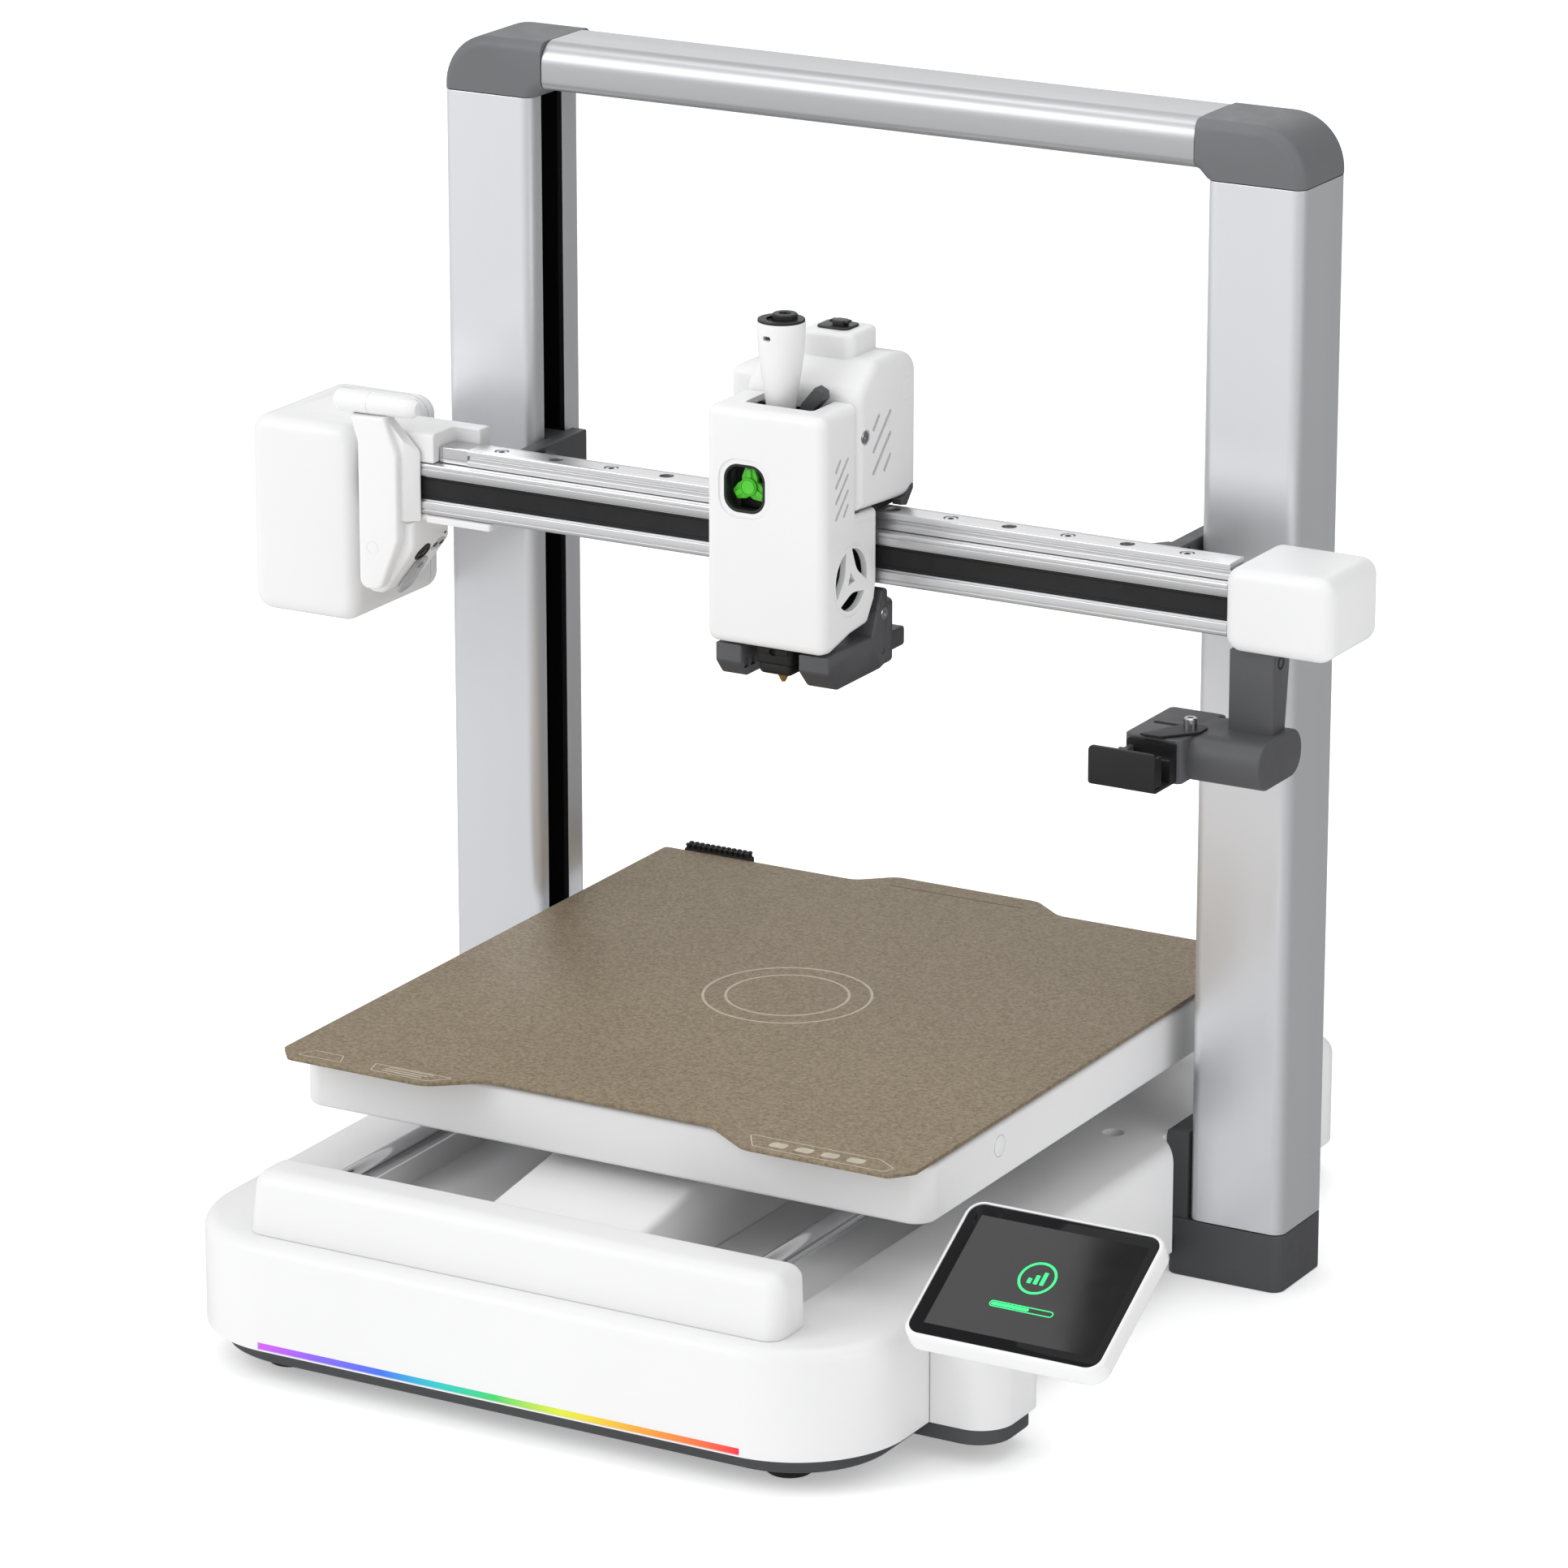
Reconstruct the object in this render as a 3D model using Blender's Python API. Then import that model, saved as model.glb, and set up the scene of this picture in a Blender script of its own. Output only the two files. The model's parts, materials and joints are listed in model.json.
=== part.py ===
"""Bed-slinger FDM printer: portal frame, sliding bed, Z gantry and X print head.

All numbers are millimetres in the portal frame: x = 0 midway between the uprights, y = 0 at the
uprights' front face with -y towards the operator, z = 0 on the table. The root empty then shifts
everything so that the world origin is the centre of the footprint, on the table.
"""
import math

import bmesh
import bpy
from mathutils import Matrix, Vector

MM = 0.001
GAP = 0.3                      # clearance between faces that touch on the real machine

# Driving dimensions -------------------------------------------------------------------------
HEIGHT = 466.0
BASE_FRONT = -278.0
BASE_REAR = 145.0
BASE_HALF = 150.0              # half width of the base
BASE_WAIST = 139.5             # half width where the base passes between the uprights
BASE_LOW = 15.0
DECK = 58.0
TRAY_LOW = 7.0
TROUGH_HALF = 104.0
TROUGH_FLOOR = 30.0
ROD_X = 92.5
ROD_Z = 72.0
ROD_R = 4.5

UPRIGHT_IN = 149.5             # inner and outer faces of the uprights
UPRIGHT_OUT = 190.5
UPRIGHT_DEPTH = 39.0
UPRIGHT_LOW = 24.3
UPRIGHT_TOP = 443.0
BEAM_LOW = 446.7
BEAM_DEPTH = 34.0
CAP_IN = 144.6
SLOT = (8.7, 24.3)             # y range of the slot in each upright's inner face
SCREW_X = 170.0
SCREW_Y = 16.5
SCREW_R = 4.0

BED_HALF = 138.0
BED_FRONT = -195.5
BED_REAR = 92.0
BED_LOW = 83.0
PLATE_HALF = 139.0
PLATE_TOP = 109.1

RAIL_FRONT = -57.5
RAIL_SIZE = 20.5               # square extrusion of the gantry
RAIL_LOW = 284.0
RAIL_LEFT = -196.0
RAIL_RIGHT = 190.0
GUIDE_TOP = 311.3
MOTOR_BOX = ((-247.0, -60.0, 234.0), (-197.0, 5.0, 313.0))
END_CAP = ((190.4, -62.0, 279.5), (235.0, -19.0, 312.5))

HEAD = ((-9.5, -103.0, 265.0), (42.5, -59.5, 359.0))
HEAD_SPLIT = -76.0             # y where the front shell meets the rear shell
REAR_SHELL_TOP = 371.0
NOZZLE = (17.0, -89.0, 249.4)
WINDOW = (7.5, 327.6)          # x, z of the window over the filament spinner
FAN = (-81.5, 291.5)           # y, z of the fan in the head's right side

SCREEN_SIZE = (82.0, 66.0, 9.0)
SCREEN_CENTRE = (198.0, -223.2, 82.0)
SCREEN_TILT = math.radians(31.2)
SCREEN_PIVOT = (164.0, -196.0, 76.0)

FOOTPRINT_X = (MOTOR_BOX[0][0], SCREEN_CENTRE[0] + SCREEN_SIZE[0] / 2)
FOOTPRINT_Y = (BASE_FRONT, BASE_REAR)

# Colours: base colour, roughness, metallic ----------------------------------------------------
FINISHES = {
    "white": ((0.86, 0.86, 0.87), 0.35, 0.0),
    "dark_grey": ((0.10, 0.10, 0.11), 0.50, 0.0),
    "cap_grey": ((0.17, 0.175, 0.185), 0.45, 0.0),
    "black": ((0.012, 0.012, 0.013), 0.45, 0.0),
    "aluminium": ((0.62, 0.63, 0.66), 0.35, 0.9),
    "steel": ((0.60, 0.61, 0.63), 0.15, 1.0),
    "brass": ((0.65, 0.45, 0.16), 0.25, 1.0),
    "bronze_sheet": ((0.28, 0.215, 0.135), 0.55, 0.2),
    "green": ((0.10, 0.62, 0.05), 0.40, 0.0),
    "glass_black": ((0.01, 0.01, 0.011), 0.08, 0.0),
    "lens_clear": ((0.55, 0.56, 0.58), 0.15, 0.0),
    "light": ((0.85, 0.85, 0.90), 0.40, 0.0),
    "rubber": ((0.02, 0.02, 0.02), 0.80, 0.0),
}


# Helpers --------------------------------------------------------------------------------------
def clear_scene():
    for obj in list(bpy.data.objects):
        bpy.data.objects.remove(obj, do_unlink=True)


def material_for(name, finish):
    colour, roughness, metallic = FINISHES[finish]
    material = bpy.data.materials.new(name)
    material.use_nodes = True
    shader = material.node_tree.nodes["Principled BSDF"]
    shader.inputs["Base Color"].default_value = (*colour, 1.0)
    shader.inputs["Roughness"].default_value = roughness
    shader.inputs["Metallic"].default_value = metallic
    return material


def empty(name, at, parent=None):
    """An empty at a point of the portal frame, used as the origin of a moving group."""
    obj = bpy.data.objects.new(name, None)
    bpy.context.collection.objects.link(obj)
    place(obj, at, parent)
    return obj


def place(obj, at, parent):
    """Give obj the portal-frame position at, under parent."""
    base = Vector(parent["at"]) if parent else Vector((0, 0, 0))
    obj.parent = parent
    obj["at"] = tuple(at)
    obj.location = (Vector(at) - base) * MM


def finish_mesh(name, bm, finish, parent, pivot=(0, 0, 0)):
    """Turn a bmesh in portal millimetres into a named object with its origin at pivot."""
    bmesh.ops.remove_doubles(bm, verts=bm.verts, dist=1e-4)
    bmesh.ops.recalc_face_normals(bm, faces=bm.faces)
    bm.transform(Matrix.Scale(MM, 4) @ Matrix.Translation(-Vector(pivot)))
    mesh = bpy.data.meshes.new(name)
    bm.to_mesh(mesh)
    bm.free()
    mesh.shade_smooth()
    mesh.set_sharp_from_angle(angle=math.radians(32))
    if finish:
        mesh.materials.append(material_for(name, finish))
    obj = bpy.data.objects.new(name, mesh)
    bpy.context.collection.objects.link(obj)
    place(obj, pivot, parent)
    return obj


def fillet(points, steps=4):
    """Round the corners of a closed outline; each point is (a, b) or (a, b, radius)."""
    result = []
    count = len(points)
    for i, point in enumerate(points):
        corner = Vector(point[:2])
        radius = point[2] if len(point) > 2 else 0.0
        if radius <= 0.0:
            result.append(corner)
            continue
        before = (Vector(points[i - 1][:2]) - corner).normalized()
        after = (Vector(points[(i + 1) % count][:2]) - corner).normalized()
        half = before.angle(after) / 2
        centre = corner + (before + after).normalized() * (radius / math.sin(half))
        start = corner + before * (radius / math.tan(half)) - centre
        turn = math.pi - 2 * half
        if start.x * before.y - start.y * before.x > 0:
            turn = -turn
        for k in range(steps + 1):
            angle = turn * k / steps
            swung = Matrix.Rotation(angle, 2) @ start
            result.append(centre + swung)
    return result


def rectangle(a0, b0, a1, b1, radius=0.0):
    return [(a0, b0, radius), (a1, b0, radius), (a1, b1, radius), (a0, b1, radius)]


def lift(axis, a, b, level):
    """A 2D point on a plane across axis: x takes (y, z), y takes (x, z), z takes (x, y)."""
    if axis == "x":
        return (level, a, b)
    if axis == "y":
        return (a, level, b)
    return (a, b, level)


def extrude(bm, outline, axis, low, high):
    """Add a prism over a closed outline to bm and return its two rims of edges."""
    rings = []
    for level in (low, high):
        rings.append([bm.verts.new(lift(axis, p[0], p[1], level)) for p in outline])
    count = len(outline)
    caps = [bm.faces.new(rings[0]), bm.faces.new(list(reversed(rings[1])))]
    for i in range(count):
        j = (i + 1) % count
        bm.faces.new((rings[0][i], rings[1][i], rings[1][j], rings[0][j]))
    return caps


def prism(name, points, axis, low, high, finish=None, parent=None, bevel=0.0, rims=(0, 1),
          steps=3, pivot=(0, 0, 0), segments=2):
    bm = bmesh.new()
    caps = extrude(bm, fillet(points, steps), axis, low, high)
    if bevel > 0.0:
        edges = {edge for k in rims for edge in caps[k].edges}
        bmesh.ops.bevel(bm, geom=list(edges), offset=bevel, segments=segments, profile=0.5,
                        affect="EDGES", clamp_overlap=True)
    return finish_mesh(name, bm, finish, parent, pivot)


def box(name, low, high, finish=None, parent=None, bevel=0.0, radius=0.0, axis="z",
        pivot=(0, 0, 0), steps=3):
    """A box with its edges along axis rounded by radius and its rims by bevel."""
    k = "xyz".index(axis)
    i, j = [n for n in range(3) if n != k]
    outline = rectangle(low[i], low[j], high[i], high[j], radius)
    return prism(name, outline, axis, low[k], high[k], finish, parent, bevel, steps=steps,
                 pivot=pivot)


def circle(a, b, radius, steps=16):
    turn = 2 * math.pi / steps
    return [(a + radius * math.cos(turn * k), b + radius * math.sin(turn * k))
            for k in range(steps)]


def cylinder(name, centre, radius, low, high, axis="z", finish=None, parent=None, steps=16,
             bevel=0.0, pivot=(0, 0, 0)):
    return prism(name, circle(*centre, radius, steps), axis, low, high, finish, parent, bevel,
                 pivot=pivot)


def turned(name, profile, centre, finish, parent, steps=16, pivot=(0, 0, 0)):
    """A solid turned about a vertical axis; profile is (radius, z) from bottom to top."""
    bm = bmesh.new()
    turn = 2 * math.pi / steps
    rings = []
    for radius, z in profile:
        rings.append([bm.verts.new((centre[0] + radius * math.cos(turn * k),
                                    centre[1] + radius * math.sin(turn * k), z))
                      for k in range(steps)])
    for lower, upper in zip(rings, rings[1:]):
        for k in range(steps):
            j = (k + 1) % steps
            bm.faces.new((lower[k], lower[j], upper[j], upper[k]))
    bm.faces.new(rings[0])
    bm.faces.new(rings[-1])
    return finish_mesh(name, bm, finish, parent, pivot)


def boolean(target, tool, operation):
    tool.parent = target.parent
    tool.location = (Vector(tool["at"]) - Vector(tool.parent["at"] if tool.parent else (0, 0, 0))) * MM
    tool.hide_render = True
    tool.display_type = "WIRE"
    modifier = target.modifiers.new(operation.lower(), "BOOLEAN")
    modifier.operation = operation
    modifier.solver = "EXACT"
    modifier.object = tool


def cut(target, *tools):
    for tool in tools:
        boolean(target, tool, "DIFFERENCE")
    return target


def join(target, *tools):
    for tool in tools:
        boolean(target, tool, "UNION")
    return target


def tool_box(low, high, radius=0.0, axis="z"):
    return box("tool", low, high, radius=radius, axis=axis)


def mirrored(points):
    """The same outline with its first coordinate negated, in the same turning sense."""
    return [(-p[0], *p[1:]) for p in reversed(points)]


SIDES = (("left", -1), ("right", 1))


def sided(points, sign):
    return points if sign > 0 else mirrored(points)


def span(sign, near, far):
    """The low and high x of a range measured outwards on one side."""
    return (near, far) if sign > 0 else (-far, -near)


# Base -----------------------------------------------------------------------------------------
def base_outline(inset=0.0):
    """Plan of the base, with large round corners at the front."""
    half = BASE_HALF - inset
    right = [(half, BASE_FRONT + inset, 46.0 - inset), (half, BASE_REAR - inset, 18.0)]
    return right + mirrored(right)


def waist_tool(sign, clearance=0.0):
    """The notch that lets the base pass between the uprights' feet."""
    near = BASE_WAIST - clearance
    far = BASE_HALF + 20.0
    notch = [(near, -3.0 - clearance), (far, -34.0 - clearance), (far, 73.0 + clearance),
             (near, 42.0 + clearance)]
    return prism("tool", sided(notch, sign), "z", 0.0, DECK + 10.0)


def build_base(root):
    shell = prism("base_shell", base_outline(), "z", BASE_LOW, DECK, "white", root, bevel=6.0,
                  rims=(1,), steps=8)
    cut(shell,
        tool_box((-TROUGH_HALF, -242.0, TROUGH_FLOOR), (TROUGH_HALF, 121.0, DECK + 20.0), 6.0),
        tool_box((-TROUGH_HALF - 6.0, -262.0, BASE_LOW - 5.0), (TROUGH_HALF + 6.0, 128.0, 27.0)))
    for _, sign in SIDES:
        low, high = span(sign, TROUGH_HALF + 3.0, BASE_HALF - 3.0)
        cut(shell, waist_tool(sign), tool_box((low, -222.0, BASE_LOW - 5.0), (high, -20.0, DECK - 3.5)),
            tool_box((low, 60.0, BASE_LOW - 5.0), (high, 125.0, DECK - 3.5)),
            cylinder("tool", (120.5 * sign, -8.0), 4.0, DECK - 6.0, DECK + 5.0))
    cut(shell, tool_box((90.0, 130.0, 22.0), (138.0, 150.0, 50.0), 2.0, "y"))
    cut(shell, tool_box((-105.5, BASE_FRONT - 5.0, 15.3), (105.5, BASE_FRONT + 4.0, 18.7)))

    tray = prism("bottom_tray", base_outline(7.0), "z", TRAY_LOW, BASE_LOW - GAP, "dark_grey",
                 root, bevel=2.5, rims=(0,), steps=8)
    join(tray, prism("tool", [(130.0, -212.0), (176.0, -212.0, 14.0), (176.0, -178.0, 8.0),
                              (130.0, -178.0)], "z", TRAY_LOW + 1.0, BASE_LOW - GAP - 0.02))
    for _, sign in SIDES:
        cut(tray, waist_tool(sign, 1.0))
    for name, x, y in (("front_left", -110.0, -248.0), ("front_right", 110.0, -248.0),
                       ("rear_left", -118.0, 118.0), ("rear_right", 118.0, 118.0)):
        turned("foot_" + name, [(9.0, 0.0), (10.0, 1.0), (10.0, TRAY_LOW - GAP)], (x, y),
               "rubber", root)

    box("light_bar", (-105.0, BASE_FRONT + 0.3, 15.6), (105.0, BASE_FRONT + 3.7, 18.4), "light",
        root)
    prism("front_rod_cover", [(-270.0, DECK + GAP), (-242.3, DECK + GAP), (-244.5, 82.0, 5.0),
                              (-264.5, 82.0, 7.0)], "x", -116.0, 116.0, "white", root, bevel=5.0)
    cover = prism("centre_cover", [(-238.0, TROUGH_FLOOR + GAP), (115.0, TROUGH_FLOOR + GAP),
                                   (115.0, 74.0, 3.0), (-180.0, 77.5, 30.0), (-236.0, 70.0, 6.0)],
                  "x", -34.0, 34.0, "white", root, bevel=3.0)
    cut(cover, tool_box((-31.5, 60.0, 20.0), (31.5, 112.0, 70.5)),
        cylinder("tool", (96.0, 48.7), 4.0, 25.0, 40.0, "x"))
    for side, sign in SIDES:
        cylinder("rod_" + side, (ROD_X * sign, ROD_Z), ROD_R, -241.8, 118.0, "y", "steel", root)


def build_drive(root):
    """Motors, supply and inlet that the base holds, with the bed's drive pulley."""
    box("y_motor", (-8.0, 78.0, TROUGH_FLOOR + 2 * GAP), (30.8, 111.5, 66.6), "black", root,
        radius=3.0, axis="x")
    pulley("y_pulley", (96.0, 48.7), 42.0, 53.0, "x", root)
    box("power_supply", (108.5, -200.0, 18.0), (144.0, -40.0, 50.0), "aluminium", root, 1.0)
    inlet = box("power_inlet", (90.4, 131.0, 22.4), (137.6, BASE_REAR - 0.6, 49.6), "black", root,
                radius=2.0, axis="y")
    cut(inlet, prism("tool", [(94.0, 27.0, 1.0), (118.0, 27.0, 1.0), (118.0, 41.0),
                              (113.0, 46.0), (99.0, 46.0), (94.0, 41.0)], "y", 134.0, 150.0),
        tool_box((122.0, 134.0, 26.5), (134.0, 150.0, 45.5)))
    prism("power_switch", [(137.5, 27.5), (140.5, 27.5), (141.5, 27.0), (143.3, 44.5),
                           (141.5, 45.0), (137.5, 44.5)], "x", 122.6, 133.4, "black", root,
          pivot=(128.0, 139.0, 36.0))
    for side, sign in SIDES:
        x = SCREW_X * sign
        box("z_motor_" + side, (x - 13.4, SCREW_Y - 13.4, UPRIGHT_LOW + 1.0),
            (x + 13.4, SCREW_Y + 13.4, 57.0), "black", root, radius=3.0)
        turned("lead_screw_" + side, [(2.5, 57.3), (2.5, 66.0), (SCREW_R, 66.0), (SCREW_R, 436.0),
                                      (2.5, 436.0), (2.5, 442.0)], (x, SCREW_Y), "steel", root,
               pivot=(x, SCREW_Y, 57.3))


def pulley(name, centre, low, high, axis, parent):
    """A toothed pulley with two flanges; its origin is on its axis."""
    middle = lift(axis, centre[0], centre[1], (low + high) / 2)
    teeth = 10
    rim = []
    for k in range(2 * teeth):
        radius = 6.4 if k % 2 else 5.7
        angle = 2 * math.pi * k / (2 * teeth)
        rim.append((centre[0] + radius * math.cos(angle), centre[1] + radius * math.sin(angle)))
    body = prism(name, rim, axis, low + 1.0, high - 1.0, "aluminium", parent, pivot=middle)
    for level in (low, high - 1.2):
        join(body, cylinder("tool", centre, 8.0, level, level + 1.2, axis))
    return body


# Portal ---------------------------------------------------------------------------------------
def build_portal(root):
    for side, sign in SIDES:
        low, high = span(sign, UPRIGHT_IN, UPRIGHT_OUT)
        upright = prism("upright_" + side, rectangle(low, 0.0, high, UPRIGHT_DEPTH, 5.0), "z",
                        UPRIGHT_LOW, UPRIGHT_TOP, "aluminium", root, steps=5)
        cut(upright, tool_box((low + 2.5, 2.5, 0.0), (high - 2.5, UPRIGHT_DEPTH - 2.5, 500.0), 3.0))
        slot_low, slot_high = span(sign, UPRIGHT_IN - 5.0, UPRIGHT_IN + 4.0)
        cut(upright, tool_box((slot_low, SLOT[0], 0.0), (slot_high, SLOT[1], 500.0)))

        corner = [(CAP_IN, BEAM_LOW), (UPRIGHT_IN, UPRIGHT_TOP + GAP),
                  (UPRIGHT_OUT, UPRIGHT_TOP + GAP), (UPRIGHT_OUT, HEIGHT, 20.0), (CAP_IN, HEIGHT)]
        prism("top_cap_" + side, sided(corner, sign), "y", 0.0, UPRIGHT_DEPTH, "cap_grey", root,
              bevel=4.0, steps=8)

        low, high = span(sign, 140.0, UPRIGHT_OUT)
        foot = box("base_cap_" + side, (low, 0.0, 0.0), (high, UPRIGHT_DEPTH, UPRIGHT_LOW - GAP),
                   "dark_grey", root, radius=4.0)
        low, high = span(sign, 140.0, UPRIGHT_IN - GAP)
        join(foot, tool_box((low, 1.0, 10.0), (high, UPRIGHT_DEPTH - 1.0, 60.0)))

    beam = prism("top_beam", [(0.3, BEAM_LOW, 4.0), (BEAM_DEPTH, BEAM_LOW, 3.0),
                              (BEAM_DEPTH, HEIGHT, 3.0), (0.3, HEIGHT, 9.0)], "x",
                 -CAP_IN + GAP, CAP_IN - GAP, "aluminium", root, steps=5)
    cut(beam, tool_box((-200.0, 3.5, BEAM_LOW + 3.0), (200.0, BEAM_DEPTH - 3.0, HEIGHT - 5.0)))


# Screen ---------------------------------------------------------------------------------------
def screen_matrix():
    tilt = Matrix.Rotation(SCREEN_TILT, 4, "X")
    return Matrix.Translation(Vector(SCREEN_CENTRE)) @ tilt


def tilt_with_screen(obj):
    """Move an object modelled flat about the glass centre onto the tilted screen plane."""
    pivot = Vector(obj["at"])
    shift = Matrix.Translation(pivot * MM)
    tilted = screen_matrix()
    tilted.translation *= MM
    obj.data.transform(shift.inverted() @ tilted @ shift)
    return obj


def build_screen(root):
    wide = SCREEN_SIZE[0] / 2
    tall = SCREEN_SIZE[1] / 2
    thick = SCREEN_SIZE[2]
    pod = prism("screen_pod", [(BASE_HALF + GAP, -214.0), (178.0, -214.0, 14.0),
                               (178.0, -176.0, 8.0), (BASE_HALF + GAP, -176.0)], "z",
                BASE_LOW, 64.0, "white", root, bevel=2.0, rims=(1,), steps=6)
    ear = [(-201.5, 60.0), (-190.5, 60.0), (-190.5, 81.4, 5.4), (-201.5, 81.4, 5.4)]
    join(pod, prism("tool", ear, "x", 152.5, 156.0), prism("tool", ear, "x", 172.0, 175.5))

    case = box("screen_case", (-wide, -tall, -thick), (wide, tall, 0.0), "white", root,
               bevel=1.6, radius=7.0, steps=6)
    tilt_with_screen(case)
    recess = tilt_with_screen(tool_box((-wide + 1.8, -tall + 1.8, -1.6),
                                       (wide - 1.8, tall - 1.8, 5.0), 5.5))
    bulge = tilt_with_screen(box("tool", (-36.0, -28.0, -thick - 3.0), (36.0, 28.0, -thick + 1.0),
                                 radius=8.0))
    barrel = cylinder("tool", SCREEN_PIVOT[1:], 5.0, 156.4, 171.6, "x")
    neck = prism("tool", [(-201.0, 76.0), (-193.5, 72.5), (-198.0, 86.0), (-208.0, 84.0)], "x",
                 157.0, 171.0)
    cut(case, recess)
    join(case, bulge, barrel, neck)
    glass = box("screen_glass", (-wide + 2.1, -tall + 2.1, -1.3), (wide - 2.1, tall - 2.1, -0.1),
                "glass_black", root, radius=5.2, steps=6)
    tilt_with_screen(glass)
    for obj in (case, glass):
        obj.data.transform(Matrix.Translation(-Vector(SCREEN_PIVOT) * MM))
        place(obj, SCREEN_PIVOT, root)


# Bed ------------------------------------------------------------------------------------------
def build_bed(bed, plate):
    tray = box("bed_tray", (-BED_HALF, BED_FRONT, BED_LOW), (BED_HALF, BED_REAR, 106.0), "white",
               bed, bevel=1.5, radius=9.0, steps=5)
    join(tray, prism("tool", [(-48.0, 85.0), (46.0, 85.0), (31.0, 98.0, 3.0), (-34.0, 98.0, 3.0)],
                     "z", 101.0, 106.8))
    cut(tray, tool_box((-134.5, BED_FRONT + 3.5, 87.0), (134.5, 85.5, 120.0), 6.0))
    box("heated_plate", (-133.8, BED_FRONT + 4.2, 100.0), (133.8, 84.8, 106.5), "aluminium", bed,
        bevel=0.5, radius=5.0)
    for side, sign in SIDES:
        x = ROD_X * sign
        bearing = box("bearing_" + side, (x - 9.0, -84.0, ROD_Z - 8.5), (x + 9.0, -14.0,
                      BED_LOW - GAP), "black", bed, bevel=0.8, radius=1.5, axis="y")
        cut(bearing, cylinder("tool", (x, ROD_Z), ROD_R + GAP, -100.0, 0.0, "y"))
    brush = box("nozzle_brush", (-131.0, 86.2, 106.3), (-99.0, 91.4, 109.5), "black", bed)
    for row in range(2):
        for k in range(9):
            x = -129.4 + 3.6 * k
            y = 87.4 + 2.7 * row
            join(brush, tool_box((x - 0.9, y - 0.9, 109.0), (x + 0.9, y + 0.9, 111.5)))

    sheet = [(-PLATE_HALF, -205.0), (-132.0, -213.5), (-70.0, -213.8), (-50.5, -198.0, 6.0),
             (47.0, -198.0, 6.0), (70.0, -213.8), (132.0, -213.8), (PLATE_HALF, -205.0),
             (PLATE_HALF, 85.0, 2.0), (44.0, 85.5), (30.0, 97.0), (-33.0, 97.0), (-46.0, 85.5),
             (-PLATE_HALF, 85.0, 2.0)]
    prism("print_plate", sheet, "z", PLATE_TOP - 1.6, PLATE_TOP, "bronze_sheet", plate,
          bevel=0.3, rims=(1,))


# Gantry ---------------------------------------------------------------------------------------
def build_gantry(gantry):
    front, low = RAIL_FRONT, RAIL_LOW
    back, top = front + RAIL_SIZE - 0.5, low + RAIL_SIZE
    profile = [(front, low, 0.8), (back, low, 0.8), (back, top, 0.8), (front, top, 0.8),
               (front, low + 15.5), (front + 3.0, low + 15.5), (front + 3.0, low + 5.2),
               (front, low + 5.2)]
    rail = prism("x_rail", profile, "x", RAIL_LEFT, RAIL_RIGHT, "aluminium", gantry, steps=2)
    cut(rail, tool_box((-300.0, front + 6.0, low + 5.0), (300.0, back - 3.5, top - 5.0), 1.5, "x"))
    box("x_belt", (RAIL_LEFT + 1.0, front + 1.2, low + 5.6), (RAIL_RIGHT - 0.5, front + 2.7,
        low + 15.1), "black", gantry)
    guide = prism("x_guide_rail", [(front + 4.0, top + GAP), (front + 16.0, top + GAP),
                                   (front + 16.0, top + 2.4), (front + 14.8, top + 4.2),
                                   (front + 16.0, GUIDE_TOP), (front + 4.0, GUIDE_TOP),
                                   (front + 5.2, top + 4.2), (front + 4.0, top + 2.4)],
                  "x", -147.5, RAIL_RIGHT - 1.0, "steel", gantry)
    for k in range(13):
        cut(guide, cylinder("tool", (-134.9 + 25.25 * k, front + 10.0), 2.6, GUIDE_TOP - 2.5,
                            GUIDE_TOP + 5.0, steps=10))

    clamp = [(-57.0, top + GAP), (-57.0, 317.0, 2.0), (-33.0, 317.0, 2.0), (-33.0, 281.0, 2.0),
             (-57.0, 281.0), (-57.0, low - GAP), (back + GAP, low - GAP), (back + GAP, top + GAP)]
    prism("rail_clamp", clamp, "x", -196.4, -149.0, "white", gantry)

    housing = box("motor_housing", *MOTOR_BOX, "white", gantry, bevel=5.0, radius=7.0, axis="y",
                  steps=6)
    join(housing, box("tool", (-238.0, -24.0, 300.0), (-201.0, 3.0, 315.5), radius=6.0, axis="x",
                      steps=5))
    cut(housing, tool_box((-244.0, -57.5, 237.0), (-200.0, 20.0, 310.0), 4.0, "y"))
    box("x_motor", (-241.0, -57.0, 238.0), (-203.0, -19.0, 280.0), "black", gantry, radius=4.0)
    box("end_cap", *END_CAP, "white", gantry, bevel=4.5, radius=6.0, axis="y", steps=6)

    for side, sign in SIDES:
        build_z_carriage(side, sign, gantry, back)
    build_camera(gantry)
    build_wiper(gantry)


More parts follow.
